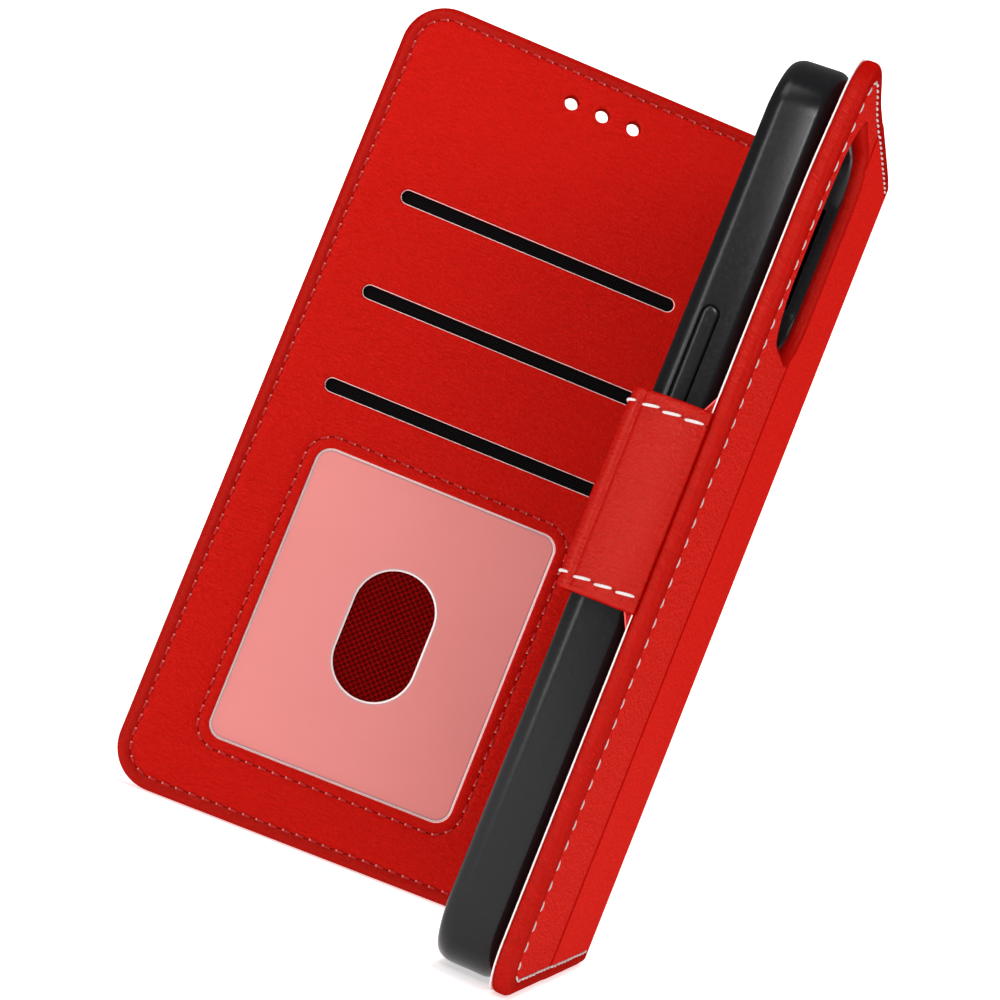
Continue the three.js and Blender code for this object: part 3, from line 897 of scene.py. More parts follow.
# lining of the back half, with its pale cut edge
p = Plate(0.2, SEC_BACK.length, 8.8, 0.14, holes=[(Round(43 - 35.3, 116.7, 43.3, 156.7, 10.3), 0.12, 0.0)],
          columns=back_columns, spacing=4.0)


def lining_height(P):
    """The cut edge stands a little proud all round, and lies flat elsewhere."""
    inset = -Round(0.2, 0, 500, H, 8.8).dist(P)
    return 0.20 * (1 - ramp(inset, 3.2, 5.4)) * (1 - ramp(P[:, 0], 64, 74))


lining_back = make_skin(
    "cover_lining_back", p, SEC_BACK, lining_height,
    {"outer": [(0.0, -0.02, 1), (0.0, -0.06, 1), (0.8, -0.08, 1)],
     "hole": [(0.0, -0.8, 0)]},
    lambda h: -T - h, [M_LINING, M_RAW], ("back_cover", "spine"), BACK_FOLD,
)
paint(lining_back, lambda s, z, k: 1 if s < 60 and -Round(0.2, 0, 500, H, 8.8).dist(np.array([[s, z]]))[0] < 0.12 else None)

# inner panel of the front half: slots, window, speaker holes
holes = [(h_, 0.30, 0.12) for h_ in SLOTS] + [(WINDOW, 0.35, 0.10)] + [(d_, 0.35, 0.0) for d_ in DOTS]
p = Plate(FREE, 0.0, FR, 1.35, holes=holes, columns=front_columns, spacing=1.8)
p.lines = [ln for i in (IN - 0.6, IN - 0.3, IN, IN + 0.3, IN + 0.6) for ln in [p.open_ring(i, 1.0)]]
for g in (-0.6, -0.25, 0.0, 0.25, 0.6):
    ring = WIN_SEAM.loop(g, 0.9)
    p.lines.append(np.vstack([ring, ring[:1]]))


def front_in_height(P):
    s = P[:, 0]
    inset = -Round(-500, 0, FREE, H, FR).dist(P)
    on = ramp(s, FRONT_FOLD[1] - 0.5, FRONT_FOLD[1] + 1.0)
    h = -0.24 * np.exp(-(((inset - IN) / 0.42) ** 2)) * on
    h = h + 0.10 * np.exp(-(((inset - 1.4) / 0.7) ** 2)) * on
    h = h + 0.07 * np.exp(-(((inset - 4.0) / 1.0) ** 2)) * on
    w = WIN_SEAM.dist(P)
    h = h - 0.22 * np.exp(-((w / 0.42) ** 2)) + 0.07 * np.exp(-(((np.abs(w) - 1.3) / 0.6) ** 2))
    for sl in SLOTS:
        q = sl.dist(P)
        h = h + 0.10 * np.exp(-(((q - 0.9) / 0.7) ** 2))
    # faint relief of the pocket layers under the leather
    for z0 in (108.2, 88.4):
        h = h + 0.03 * ramp(P[:, 1], z0 - 0.8, z0 + 0.8) * on
    return h


inner_front = make_skin(
    "cover_panel_front", p, SEC_FRONT, front_in_height,
    {"outer": [(0.0, -1.5, 2), (0.12, -1.68, 2), (0.5, -1.7, 2)],
     "hole": [(0.0, -0.8, 3), (0.0, -0.9, 3), (0.0, -1.08, 3)]},
    lambda h: -T - h, [M_PANEL, M_RAW, M_SMOOTH, M_LINING], ("spine", "front_cover"), FRONT_FOLD,
)


def front_rule(s, z, k):
    if k:
        return None
    inset = -Round(-500, 0, FREE, H, FR).dist(np.array([[s, z]]))[0]
    return 2 if s > FRONT_FOLD[1] and inset < IN - 0.1 else None


paint(inner_front, front_rule)


# -------------------------------------------------------------------- threads
def resample(P, pitch, start=0.0):
    """Even marks along a line in (s, z)."""
    seg = np.linalg.norm(np.diff(P, axis=0), axis=1)
    L = np.concatenate([[0], np.cumsum(seg)])
    n = max(1, int(round((L[-1] - 2 * start) / pitch)))
    return L, n, (L[-1] - 2 * start) / n


def stitches(name, line, to3, surface, pitch, dash, radius, mats, proud=0.10,
             start=0.0, slant=0.0, sag=0.30, holes=True, wobble=0.05, seed=3, dot=0.27):
    """A row of single stitches along a line in (s, z): each is a short length of
    thread that rises out of one needle hole and goes down the next."""
    rng = np.random.default_rng(seed)
    L, n, step = resample(line, pitch, start)
    at = lambda t: np.stack([np.interp(t, L, line[:, k]) for k in (0, 1)], -1)
    V, F, I, UV = [], [], [], []
    K, R = 9, 8
    for i in range(n):
        c = start + (i + 0.5) * step
        dl = dash * (1 + rng.uniform(-0.05, 0.05))
        t = c + np.linspace(-0.5, 0.5, K) * dl
        p = at(t)
        tan = at(t + 0.05) - at(t - 0.05)
        tan /= np.linalg.norm(tan, axis=1, keepdims=True)
        nor = np.stack([-tan[:, 1], tan[:, 0]], -1)
        u = np.linspace(-1, 1, K)
        off = slant * u * 0.5 * dl + rng.uniform(-wobble, wobble)
        q = p + nor * off[:, None]
        lift = proud - (proud + radius + 0.05) * np.abs(u) ** 3.2
        rad = radius * (1 - 0.45 * np.abs(u) ** 3)
        h = surface(q) + lift
        b = len(V)
        for k in range(K):
            for j in range(R):
                a_ = 2 * math.pi * j / R
                w = q[k] + nor[k] * rad[k] * math.cos(a_)
                V.append((w[0], w[1], h[k] + rad[k] * math.sin(a_)))
                UV.append((t[k], j / R * 1.2))
        for k in range(K - 1):
            for j in range(R):
                m_ = (j + 1) % R
                F.append((b + k * R + j, b + k * R + m_, b + (k + 1) * R + m_, b + (k + 1) * R + j))
                # the third ring from the end of each stitch takes the painted highlight
                I.append(2 if len(mats) > 2 and k == K - 3 else 0)
        for k in (0, K - 1):
            F.append(tuple(b + k * R + j for j in range(R)))
            I.append(0)
        # painted shade: a flat dark disc at each end, not a dimple, stands for the shade in the needle hole
        if holes:  # the dimple at each end
            for sgn in (-1, 1):
                g = at(np.array([c + sgn * (dl * 0.5 + 0.10)]))[0]
                b = len(V)
                hh = float(surface(g[None])[0]) + 0.012
                for j in range(R):
                    a_ = 2 * math.pi * j / R
                    V.append((g[0] + dot * math.cos(a_), g[1] + dot * math.sin(a_), hh))
                    UV.append((0, 0))
                F.append(tuple(range(b, b + R)))
                I.append(1)
    V = np.array(V)
    o = new_object(name, to3(V[:, 0], V[:, 1], V[:, 2]), F, mats, I, UV)
    return o, V


def clip_line(line, keep):
    m = keep(line)
    i = np.where(m)[0]
    return line[i[0]: i[-1] + 1]


pb = Plate(0.0, SEC_BACK.length, 9, 1.5, columns=back_columns)
line = pb.open_ring(3.0, 0.5)
line = clip_line(line, lambda q: q[:, 0] < BACK_FOLD[0] - 0.8)
back_thread, _ = stitches(
    "cover_thread_back", line, lambda s, z, h: place(SEC_BACK, s, z, h),
    lambda q: back_height(q) + 0.02, 3.5, 2.35, 0.20, [M_WHITE, M_HOLE_SHADE], proud=0.16, slant=0.10, start=1.0, dot=0.16,
)
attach(back_thread, "back_cover")

# the back cover's free top corner bends a little away from the shell
for o in (outer_back, lining_back, back_thread):
    co = np.array([v.co[:] for v in o.data.vertices]) * 1000
    bend = 0.75 * ramp(co[:, 2], 134, 165) ** 1.3 * ramp(co[:, 0], 12, 38)
    for v, d_ in zip(o.data.vertices, bend):
        v.co.y += d_ / 1000

pf = Plate(FREE, 0.0, FR, 1.35, columns=front_columns)
line = pf.open_ring(IN, 0.5)
line = clip_line(line, lambda q: q[:, 0] > FRONT_FOLD[1] + 0.8)
front_thread, _ = stitches(
    "cover_thread_front", line, lambda s, z, h: place(SEC_FRONT, s, z, -T - h),
    lambda q: front_in_height(q) + 0.02, 2.8, 2.0, 0.25, [M_RED, M_HOLE_SHADE, M_RED_GLINT], proud=0.18, slant=0.08, start=1.0, seed=5,
)
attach(front_thread, "front_cover")
outside_thread, _ = stitches(
    "cover_thread_front_outside", line, lambda s, z, h: place(SEC_FRONT, s, z, h),
    lambda q: front_out_height(q) + 0.02, 2.8, 2.0, 0.19, [M_RED, M_HOLE_SHADE, M_RED_GLINT], proud=0.10, slant=0.08, start=1.0, seed=6,
)
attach(outside_thread, "front_cover")
ring = WIN_SEAM.loop(0, 0.4)
ring = np.vstack([ring, ring[:1]])
window_thread, _ = stitches(
    "window_thread", ring, lambda s, z, h: place(SEC_FRONT, s, z, -T - h),
    lambda q: front_in_height(q) + 0.02, 2.8, 2.0, 0.25, [M_RED, M_HOLE_SHADE, M_RED_GLINT], proud=0.18, slant=0.08, seed=7,
)
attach(window_thread, "front_cover")


# ------------------------------------------------- film, pocket cloth, backing
def grid_sheet(name, rect, level, mats, step=0.8, ripple=None):
    s0, z0, s1, z1 = rect
    ns, nz = int((s1 - s0) / step) + 1, int((z1 - z0) / step) + 1
    S, Z = np.meshgrid(np.linspace(s0, s1, ns), np.linspace(z0, z1, nz), indexing="ij")
    h = np.full(S.shape, level) + (ripple(S, Z) if ripple else 0)
    V = place(SEC_FRONT, S.ravel(), Z.ravel(), h.ravel())
    F = [
        (i * nz + j, (i + 1) * nz + j, (i + 1) * nz + j + 1, i * nz + j + 1)
        for i in range(ns - 1) for j in range(nz - 1)
    ]
    o = new_object(name, V, F, mats, None, np.stack([S.ravel(), Z.ravel()], -1))
    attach(o, "front_cover")
    return o


# h is measured from the outer face, so inner level v sits at -(v + 1.7)
def level(v):
    return -(v + T / 2)


pocket_z = [(108.4, 130), (88.6, 108.1), (77.4, 88.3)]
for i, (z0, z1) in enumerate(pocket_z):
    s0, s1 = sfree(71.7), sfree(9.5)
    cloth = grid_sheet(
        "pocket_cloth_%d" % (i + 1), (s0, z0, s1, z1), level(0.5), [M_FABRIC],
        ripple=lambda S, Z: -0.05 * np.sin(S * 0.35) * np.sin(Z * 0.9 + 1),
    )
    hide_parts("card_pocket_%d" % (i + 1))
s0, s1, z0, z1 = sfree(67.6), sfree(13.5), 12.7, 77.0
backing = grid_sheet("id_backing_cloth", (s0, z0, s1, z1), level(0.4), [M_CLOTH],
                     ripple=lambda S, Z: -0.03 * np.sin(S * 0.5 + 0.4) * np.sin(Z * 0.45))
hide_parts("id_pocket_backing")

# the film fills the window, its bevelled rim just under the leather's edge
film_out = Round(WINDOW.c[0] - 1.2, WINDOW.c[1] - 1.2, WINDOW.c[2] + 1.2, WINDOW.c[3] + 1.2, 3.8)
loops = []
spec = [(film_out, 0.0, 0.56, 0), (film_out, 0.0, 0.70, 0), (WINDOW, -0.05, 0.72, 0)]


def film():
    top, low = level(1.02), level(0.66)
    outer = film_out.loop(0, 1.2)
    rim = THUMB.loop(0, 0.8)
    pts = [tuple(q) for q in outer]
    edges = [(i, (i + 1) % len(outer)) for i in range(len(outer))]
    rings = {}
    for key, shape, g in (("a", WINDOW, -0.55), ("b", WINDOW, -0.25), ("c", WINDOW, -0.02),
                          ("t0", THUMB, 0.0), ("t1", THUMB, 0.34), ("t2", THUMB, 0.6)):
        l = shape.loop(g, 0.8)
        rings[key] = (len(pts), len(l))
        edges += [(len(pts) + i, len(pts) + (i + 1) % len(l)) for i in range(len(l))]
        pts += [tuple(q) for q in l]
    g = np.array([(x, y) for x in np.arange(WINDOW.c[0] + 2, WINDOW.c[2] - 1, 3.0)
                  for y in np.arange(WINDOW.c[1] + 2, WINDOW.c[3] - 1, 3.0)])
    g = g[THUMB.dist(g) > 1.6]
    pts += [tuple(q) for q in g]
    v, _, f, _, _, _ = delaunay_2d_cdt([Vector(q) for q in pts], edges, [], 0, 1e-5, False)
    P = np.array([tuple(q) for q in v])
    F = np.array([tuple(q) for q in f])
    C = P[F].mean(axis=1)
    ok = (film_out.dist(C) < -1e-5) & (THUMB.dist(C) > 1e-5)
    F, C = F[ok], C[ok]
    w, t = WINDOW.dist(P), THUMB.dist(P)
    h = np.full(len(P), top)
    h = np.where(w > -0.5, top + 0.14, h)
    h = np.where(t < 0.3, top + 0.16, h)
    wc, tc = WINDOW.dist(C), THUMB.dist(C)
    I = np.zeros(len(F), int)
    I[(wc > -0.25)] = 1
    I[(wc > -0.55) & (wc <= -0.25)] = 2
    I[tc < 0.34] = 1
    I[(tc >= 0.34) & (tc < 0.6)] = 2
    verts = [(a_[0], a_[1], b_) for a_, b_ in zip(P, h)]
    faces = [tuple(q) for q in F]
    I = list(I)
    b0, n = len(verts), len(rim)
    verts += [(q[0], q[1], top + 0.16) for q in rim] + [(q[0], q[1], low) for q in rim]
    for i in range(n):
        j = (i + 1) % n
        faces.append((b0 + i, b0 + j, b0 + n + j, b0 + n + i))
        I.append(1)
    V = np.array(verts)
    o = new_object("window_film", place(SEC_FRONT, V[:, 0], V[:, 1], V[:, 2]), faces,
                   [M_FILM, M_FILM_EDGE, M_FILM_LINE], I, V[:, :2])
    sharpen(o, 25)
    return o


win = film()
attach(win, "front_cover")
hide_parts("id_window_film")


# ---------------------------------------------------------------------- strap
SEC_STRAP = Section(
    (36.5, -3.05), 0,
    [("L", 5.15), ("A", 1.1, -90), ("L", 14.8 - 4.15), ("A", 1.6, -90), ("L", 41.1 - 12.2)], 1,
)
ROOT = SEC_STRAP.runs[1][:2]
TABF = SEC_STRAP.runs[3][:2]
END = SEC_STRAP.length
ZS0, ZS1 = 65.2, 99.7
SEAM = 2.3


def strap_out(s):
    """Outer face above the middle line: it swells over the cover's edge, and
    is pinched before the turn to the tab."""
    q = (s - ROOT[0]) / (ROOT[1] - ROOT[0])
    base = 0.05 + 0.95 * ramp(q, 0.30, 0.85)
    a0, a1 = ROOT[0] + 0.75, TABF[0] - 0.15
    t = np.clip((s - a0) / (a1 - a0), 0, 1)
    puff = 1.0 * np.sin(math.pi * np.clip(t, 0, 1) ** 0.85) * (t < 1)
    fold = 0.34 * np.exp(-(((s - TABF[0] + 0.05) / 0.36) ** 2))
    ridge = 0.10 * np.exp(-(((s - TABF[0] - 1.2) / 0.6) ** 2))
    thin = 0.35 * ramp(s, TABF[0] + 0.6, TABF[1] + 2)
    return base + puff - fold + ridge - thin


def strap_in(s):
    over = ramp(s, ROOT[1] + 0.1, ROOT[1] + 2.0) * (1 - ramp(s, TABF[0] - 0.3, TABF[0] + 0.2))
    return 0.12 + 0.88 * ramp(s, ROOT[0] + 0.2, ROOT[1] + 0.1) + 1.0 * over


def half_z(s):
    """Half height of the strap; the tab's end is rounded."""
    t = np.clip((s - (END - 6)) / 6, 0, 1)
    return 17.5 - 6 * (1 - np.sqrt(np.clip(1 - t * t, 0, 1)))


def strap_piece(name, s_vals, closed_start, closed_end):
    """Closed sleeve: each section is a flat ring with soft edges."""
    K = 44
    V, UV = [], []
    zc = (ZS0 + ZS1) / 2
    for s in s_vals:
        ho, hi, hz = float(strap_out(np.array([s]))[0]), float(strap_in(np.array([s]))[0]), float(half_z(np.array([s]))[0])
        er = 0.75 * min(1.0, ho)
        edge = []
        nf = 26
        # outer face from low z to high z, then the edge, then the inner face
        for i in range(nf + 1):
            z = -hz + 0.15 + er + (2 * hz - 0.3 - 2 * er) * i / nf
            dd = hz - abs(z)
            seam = abs(dd - SEAM)
            hh = ho - 0.20 * math.exp(-((seam / 0.42) ** 2)) * (s > ROOT[1] - 0.5)
            puff_z = 0.12 * (1 - math.exp(-max(0, dd - 2) / 3.5)) * (s > ROOT[1])
            edge.append((z, hh + puff_z))
        for a_ in (70, 45, 20, 0):
            edge.append((hz - er + er * math.cos(math.radians(a_)) - 0.0, ho - er + er * math.sin(math.radians(a_))))
        edge.append((hz, -hi + 0.5 * min(1, hi)))
        edge.append((hz - 0.12, -hi + 0.1 * min(1, hi)))
        for i in range(7):
            edge.append((hz - 0.4 - (2 * hz - 0.8) * i / 6, -hi))
        edge.append((-hz + 0.12, -hi + 0.1 * min(1, hi)))
        edge.append((-hz, -hi + 0.5 * min(1, hi)))
        for a_ in (0, 20, 45, 70):
            edge.append((-hz + er - er * math.cos(math.radians(a_)), ho - er + er * math.sin(math.radians(a_))))
        n = len(edge)
        for z, h in edge:
            V.append((s, zc + z, h))
            UV.append((s + 200 + 0.4 * min(h, 0), zc + z))
    V = np.array(V)
    F, I = [], []
    for k in range(len(s_vals) - 1):
        for i in range(n):
            j = (i + 1) % n
            F.append((k * n + i, k * n + j, (k + 1) * n + j, (k + 1) * n + i))
            inner = 33 <= i <= 38
            I.append(1 if inner else 0)
    if closed_start:
        F.append(tuple(range(n)))
        I.append(2)
    if closed_end:
        F.append(tuple(range(len(V) - n, len(V))))
        I.append(0)
    o = new_object(name, place(SEC_STRAP, V[:, 0], V[:, 1], V[:, 2]), F,
                   [M_STRAP, M_LINING, M_RAW_RED], I, UV)
    fix_normals(o)
    return o, V


JOIN = ROOT[1] + 1.6
sv = np.unique(np.concatenate([
    np.linspace(0, ROOT[0], 4), np.linspace(ROOT[0], ROOT[1], 10), np.linspace(ROOT[1], JOIN, 5)]).round(5))
strap_root, V = strap_piece("strap_root", sv, True, False)
m = SEC_STRAP.map(np.array(ROOT), np.array([0.0, 0.0]))
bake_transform(strap_root)
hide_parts("strap_anchor")

sv = np.unique(np.concatenate([
    np.linspace(JOIN, TABF[0] - 1, 16), np.linspace(TABF[0] - 1, TABF[0], 6), np.linspace(TABF[0], TABF[1], 14),
    np.linspace(TABF[1], END - 6, 12),
    END - 6 + 6 * np.sin(np.linspace(0, math.pi / 2, 14)) * 0.9995]).round(5))
strap_main, V = strap_piece("strap_sleeve", sv, False, True)
m = SEC_STRAP.map(np.array(TABF), np.array([0.0, 0.0]))
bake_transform(strap_main)
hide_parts("strap_outer_leather", "strap_lining", "tab_outer_leather", "tab_lining")


def strap_seam(name, s0, s1, z, bodies, fold=None, count=None, pitch=4.0, dash=3.5, seed=1):
    n = int((s1 - s0) / 0.2)
    line = np.stack([np.linspace(s0, s1, n), np.full(n, z)], -1)
    o, V = stitches(
        name, line, lambda s, zz, h: place(SEC_STRAP, s, zz, h),
        lambda q: strap_out(q[:, 0]) - 0.10, pitch, dash, 0.27, [M_WHITE, M_HOLE_SHADE],
        proud=0.16, slant=-0.12, seed=seed, wobble=0.08, dot=0.14,
    )
    if fold:
        m = SEC_STRAP.map(np.array(fold), np.array([0.0, 0.0]))
        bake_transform(o)
    else:
        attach(o, bodies)
    return o


st = strap_seam("strap_thread_top", ROOT[1] - 0.5, TABF[1] + 1.4, ZS1 - SEAM, ("strap", "tab"), TABF, seed=11)
sb = strap_seam("strap_thread_bottom", ROOT[1] - 0.5, TABF[1] + 1.4, ZS0 + SEAM, ("strap", "tab"), TABF, seed=12)
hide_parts("strap_stitching_top")
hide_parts("strap_stitching_bottom")
# the tab's own seam runs on round its end
zt, zb = ZS1 - SEAM, ZS0 + SEAM
s_a, s_b = TABF[1] + 1.6, END - SEAM
arc = [(s_b - 4 + 4 * math.sin(math.radians(t)), zt - 4 + 4 * math.cos(math.radians(t))) for t in range(0, 91, 10)]
arc2 = [(q[0], zt + zb - q[1]) for q in arc[::-1]]
line = [(s, zt) for s in np.arange(s_a, s_b - 4, 0.4)] + arc + [(s_b, z) for z in np.arange(zt - 4.4, zb + 4, -0.4)] + arc2 + [(s, zb) for s in np.arange(s_b - 4.4, s_a, -0.4)]
tab_thread, _ = stitches(
    "tab_thread", np.array(line), lambda s, zz, h: place(SEC_STRAP, s, zz, h),
    lambda q: strap_out(q[:, 0]) - 0.02, 4.1, 3.3, 0.25, [M_WHITE, M_HOLE_SHADE], proud=0.15, slant=0.08, seed=13,
)
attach(tab_thread, "tab")


# ---------------------------------------------------------------- phone shell
def shell_loop(inset, n, seg=14, w=79.0, z0=0.6, z1=163.9, r=12.0):
    rr = max(r - inset, 0.4)
    x, a_, b_ = w / 2 - inset, z0 + inset, z1 - inset
    out = []
    for cx, cz, t0 in ((x - rr, a_ + rr, -90), (x - rr, b_ - rr, 0), (-x + rr, b_ - rr, 90), (-x + rr, a_ + rr, 180)):
        for i in range(seg + 1):
            t = math.radians(t0 + 90 * i / seg)
            out.append((cx + rr * math.cos(t), -n, cz + rr * math.sin(t)))
    return out


def quarter(i0, n0, ri, rn, k, flip=False):
    """Rounded edge from (i0 + ri, n0) to (i0, n0 + rn)."""
    return [(i0 + ri * (1 - math.sin(math.radians(t))), n0 + rn * (1 - math.cos(math.radians(t)))) for t in np.linspace(0, 90, k)]


prof = quarter(0, 4.1, 2.3, 2.6, 9)
prof += [(0, 9.5)]
prof += [(i_, 15.3 - (n_ - 4.1)) for i_, n_ in quarter(0, 4.1, 1.7, 3.0, 9)[::-1]]
prof += [(2.1, 15.3), (2.42, 15.2), (2.5, 14.95), (2.5, 14.5), (2.2, 14.2), (1.5, 14.0), (1.4, 13.8), (1.4, 6.6), (1.6, 6.1), (2.2, 5.7)]
tray = loft("phone_shell", [shell_loop(i_, n_) for i_, n_ in prof], [M_TPU])


def cutter(name, pts, a_, b_):
    """Closed prism from a loop at a_ to the same loop at b_ (lists of points)."""
    o = loft(name, [a_, b_], [])
    return o


def stadium(c0, c1, w, seg=10):
    """Loop of a slot from c0 to c1 (centres of its ends) of width w, in 2-D."""
    c0, c1 = np.array(c0, float), np.array(c1, float)
    d_ = (c1 - c0) / np.linalg.norm(c1 - c0)
    n_ = np.array([-d_[1], d_[0]])
    out = []
    for i in range(seg + 1):
        t = math.pi * i / seg
        out.append(c1 + w / 2 * (n_ * math.cos(t) + d_ * math.sin(t)))
    for i in range(seg + 1):
        t = math.pi * i / seg
        out.append(c0 + w / 2 * (-n_ * math.cos(t) - d_ * math.sin(t)))
    return np.array(out)


cutters = []
cam_in = Round(1.7, 118.7, 33.3, 154.7, 8.3).loop(0, 1.0)
cutters.append(loft("cut_a", [[(q[0], -2, q[1]) for q in cam_in], [(q[0], -7.5, q[1]) for q in cam_in]], []))


def side_cut(z0, z1, x0, x1, wide=3.3, nc=10.3):
    l = stadium((nc, z0 + wide / 2), (nc, z1 - wide / 2), wide)
    cutters.append(loft("cut", [[(x0, -q[0], q[1]) for q in l], [(x1, -q[0], q[1]) for q in l]], []))


side_cut(94.85, 117.15, 38.35, 41)
side_cut(111.85, 125.15, -41, -38.35)
side_cut(94.85, 108.15, -41, -38.35)
side_cut(130.85, 137.15, -41, -37.2)
for x0, x1, n0, n1 in ((-6.5, 6.5, 7.6, 12.6), (11, 24, 8.9, 11.5), (-24, -11, 8.9, 11.5)):
    w_ = n1 - n0
    l = stadium((x0 + w_ / 2, (n0 + n1) / 2), (x1 - w_ / 2, (n0 + n1) / 2), w_)
    cutters.append(loft("cut", [[(q[0], -q[1], -1.0) for q in l], [(q[0], -q[1], 3.4) for q in l]], []))
for c in cutters:
    mod = tray.modifiers.new("cut", "BOOLEAN")
    mod.operation = "DIFFERENCE"
    mod.solver = "EXACT"
    mod.object = c
bpy.context.view_layer.update()
ev = tray.evaluated_get(bpy.context.evaluated_depsgraph_get())
me = bpy.data.meshes.new_from_object(ev)
tray.modifiers.clear()
tray.data = me
for c in cutters:
    bpy.data.objects.remove(c, do_unlink=True)
for v in tray.data.vertices:
    z = v.co.z * 1000
    n_ = SHIFT[1] - v.co.y * 1000
    top, low = float(ramp(np.array(z), 128, 163)), float(ramp(np.array(z), 26, 2))
    n2 = 4.1 + (n_ - 4.1) * (1 - 0.085 * top ** 1.3 - 0.02 * low)
    v.co.y = (SHIFT[1] - n2) / 1000
    v.co.z -= 0.00045 * float(ramp(np.array(z), 145, 163.9))
tray.data.polygons.foreach_set("use_smooth", [True] * len(tray.data.polygons))
sharpen(tray, 32)
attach(tray, "back_cover")
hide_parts("tpu_shell")

# raised rim round the camera opening
rim_prof = [(1.7, 5.2), (1.7, 2.6), (1.62, 2.3), (1.4, 2.12), (1.05, 2.05), (0.7, 2.12), (0.48, 2.3), (0.4, 2.6), (0.4, 4.9)]
base = Round(0, 117, 35, 156.4, 10)
rim = loft("camera_rim", [[(q[0], -n_, q[1]) for q in base.loop(-i_, 1.0, arc=16)] for i_, n_ in rim_prof], [M_TPU], cap0=False, cap1=False)
sharpen(rim, 50)
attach(rim, "back_cover")


def button(name, z0, z1, x_in, x_out, body, node, w=2.8):
    """Domed key with a soft edge."""
    g = 1 if x_out > x_in else -1
    loops = []
    for shrink, x in ((0, x_in), (0, x_out - g * 0.38), (0.05, x_out - g * 0.2), (0.16, x_out - g * 0.08),
                      (0.36, x_out - g * 0.015), (0.7, x_out), (1.05, x_out + g * 0.01)):
        l = stadium((10.3, z0 + w / 2), (10.3, z1 - w / 2), w - 2 * shrink, 10)
        loops.append([(x, -q[0], q[1]) for q in l])
    o = loft(name, loops, [M_TPU])
    sharpen(o, 60)
    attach(o, body)
    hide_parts(node)
    return o


button("power_key_cap", 95.1, 116.9, 38.8, 39.85, "power_key", "power_button")
button("volume_up_cap", 112.1, 124.9, -38.8, -39.85, "volume_up_key", "volume_up_button")
button("volume_down_cap", 95.1, 107.9, -38.8, -39.85, "volume_down_key", "volume_down_button")

# the cover's edge is drawn up into a small fold above and below the strap's root
for end_, z_, sg in (("top", ZS1 - 0.3, 1), ("bottom", ZS0 + 0.3, -1)):
    tri = [(4.9, z_), (3.3, z_), (3.3, z_ + sg * 3.3)]
    rim = [(5.2, z_), (3.25, z_ + sg * 3.9), (3.3, z_ + sg * 3.3), (4.9, z_)]
    V_, F_, I_ = [], [], []
    for pts, k in ((tri, 0), (rim, 1)):
        n_, b = len(pts), len(V_)
        for x_ in (42.2, 42.75):
            V_ += [row((x_, -q[0], q[1])) for q in pts]
        F_ += [tuple(range(b, b + n_)), tuple(range(b + 2 * n_ - 1, b + n_ - 1, -1))]
        F_ += [(b + j, b + n_ + j, b + n_ + (j + 1) % n_, b + (j + 1) % n_) for j in range(n_)]
        I_ += [k] * (n_ + 2)
    g_ = new_object("strap_gusset_" + end_, V_, F_, [M_SMOOTH, M_RAW_RED], I_,
                    [(v[1] * 1000, v[2] * 1000) for v in V_], False)
    fix_normals(g_)
    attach(g_, "back_cover")

# --------------------------------------------------------------- what replaces
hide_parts("back_outer_leather", "spine_outer_leather")
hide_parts("back_lining", "spine_lining")
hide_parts("front_outer_leather")
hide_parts("front_inner_panel")
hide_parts("back_edge_stitching")
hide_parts("front_edge_stitching")
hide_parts("window_stitching")

for names, mat in (
    (("back_board", "spine_board", "front_board", "tab_stiffener"), M_BOARD),
    (("strap_padding",), M_FOAM),
    (("shell_adhesive",), M_TAPE),
    (("catch_plate",), M_STEEL),
    (("tab_magnet",), M_MAGNET),
):
    for n_ in names:
        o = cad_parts[n_]
        o = bpy.data.objects[o] if isinstance(o, str) else o
        for sl in o.material_slots:
            sl.material = mat

# ---------------------------------------------------------- floor and lights
bpy.ops.mesh.primitive_plane_add(size=6, location=(0, 0, -0.0002))
floor = bpy.context.object
floor.name = "floor"
mf = Mat("floor_white")
nn = mf.noise(mf.coords("Object"), 3.0, 3, 0.5)
mf.link(mf.ramp(nn, [(0.3, (0.93, 0.93, 0.93, 1)), (0.7, (0.95, 0.95, 0.95, 1))]), mf.p.inputs["Base Color"])
mf.set(Roughness=0.9, Specular_IOR_Level=0.1, Emission_Color=(1, 1, 1, 1), Emission_Strength=0.55)
floor.data.materials.append(mf.m)

world = bpy.data.worlds.new("studio")
bpy.context.scene.world = world
world.use_nodes = True
bg = world.node_tree.nodes["Background"]
bg.inputs["Color"].default_value = (1, 1, 1, 1)
bg.inputs["Strength"].default_value = 0.20


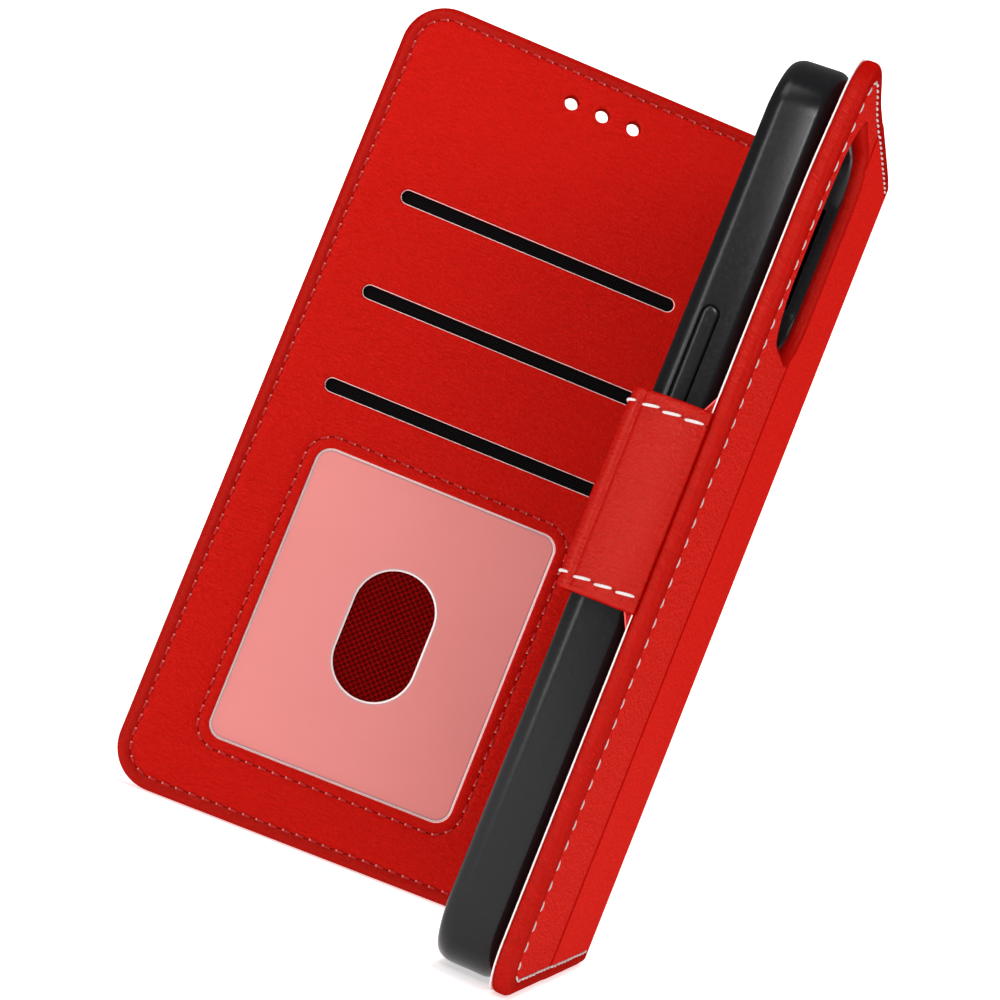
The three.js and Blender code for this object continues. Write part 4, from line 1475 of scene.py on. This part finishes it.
def area(name, loc, size, power, size_y=None, target=(0, 0, 0.085)):
    l = bpy.data.lights.new(name, "AREA")
    l.shape = "RECTANGLE"
    l.size = size
    l.size_y = size_y or size
    l.energy = power
    o = bpy.data.objects.new(name, l)
    bpy.context.scene.collection.objects.link(o)
    o.location = loc
    o.rotation_euler = (Vector(target) - Vector(loc)).to_track_quat("-Z", "Y").to_euler()
    return o


def polar(az, el, dist):
    """A place seen from the object: azimuth from +X towards +Y, elevation up."""
    a_, e_ = math.radians(az), math.radians(el)
    return (dist * math.cos(a_) * math.cos(e_), dist * math.sin(a_) * math.cos(e_), 0.085 + dist * math.sin(e_))


area("strip", polar(-20, 6, 0.8), 0.08, 1.8, 0.7)
area("upper", polar(-30, 50, 0.8), 0.3, 1.0, 0.3)
area("window", polar(4, 25, 0.8), 0.14, 1.5, 0.17)
area("side", polar(72, 36, 0.95), 0.5, 2.5, 0.5)
sun = bpy.data.lights.new("overhead", "SUN")
sun.energy = 1.5
sun.angle = math.radians(25)
sun_o = bpy.data.objects.new("overhead", sun)
bpy.context.scene.collection.objects.link(sun_o)
sun_o.visible_glossy = False

# a plain white backdrop all round, well away from the object; it gives no light
ring = [(2.8 * math.cos(math.radians(a_)), 2.8 * math.sin(math.radians(a_))) for a_ in range(0, 360, 6)]
back = new_object(
    "backdrop", [(x_, y_, z_) for z_ in (-0.01, 4.0) for x_, y_ in ring],
    [(k, (k + 1) % 60, 60 + (k + 1) % 60, 60 + k) for k in range(60)], [])
mc = bpy.data.materials.new("backdrop_white")
mc.use_nodes = True
pc = mc.node_tree.nodes["Principled BSDF"]
pc.inputs["Base Color"].default_value = (0.9, 0.9, 0.9, 1)
pc.inputs["Emission Color"].default_value = (1, 1, 1, 1)
pc.inputs["Emission Strength"].default_value = 1.0
back.data.materials.append(mc)
back.visible_diffuse = False
back.visible_glossy = False
back.visible_transmission = False
back.visible_shadow = False

sc = bpy.context.scene
sc.view_settings.view_transform = "Standard"
sc.view_settings.look = "None"
cam.data.dof.use_dof = False
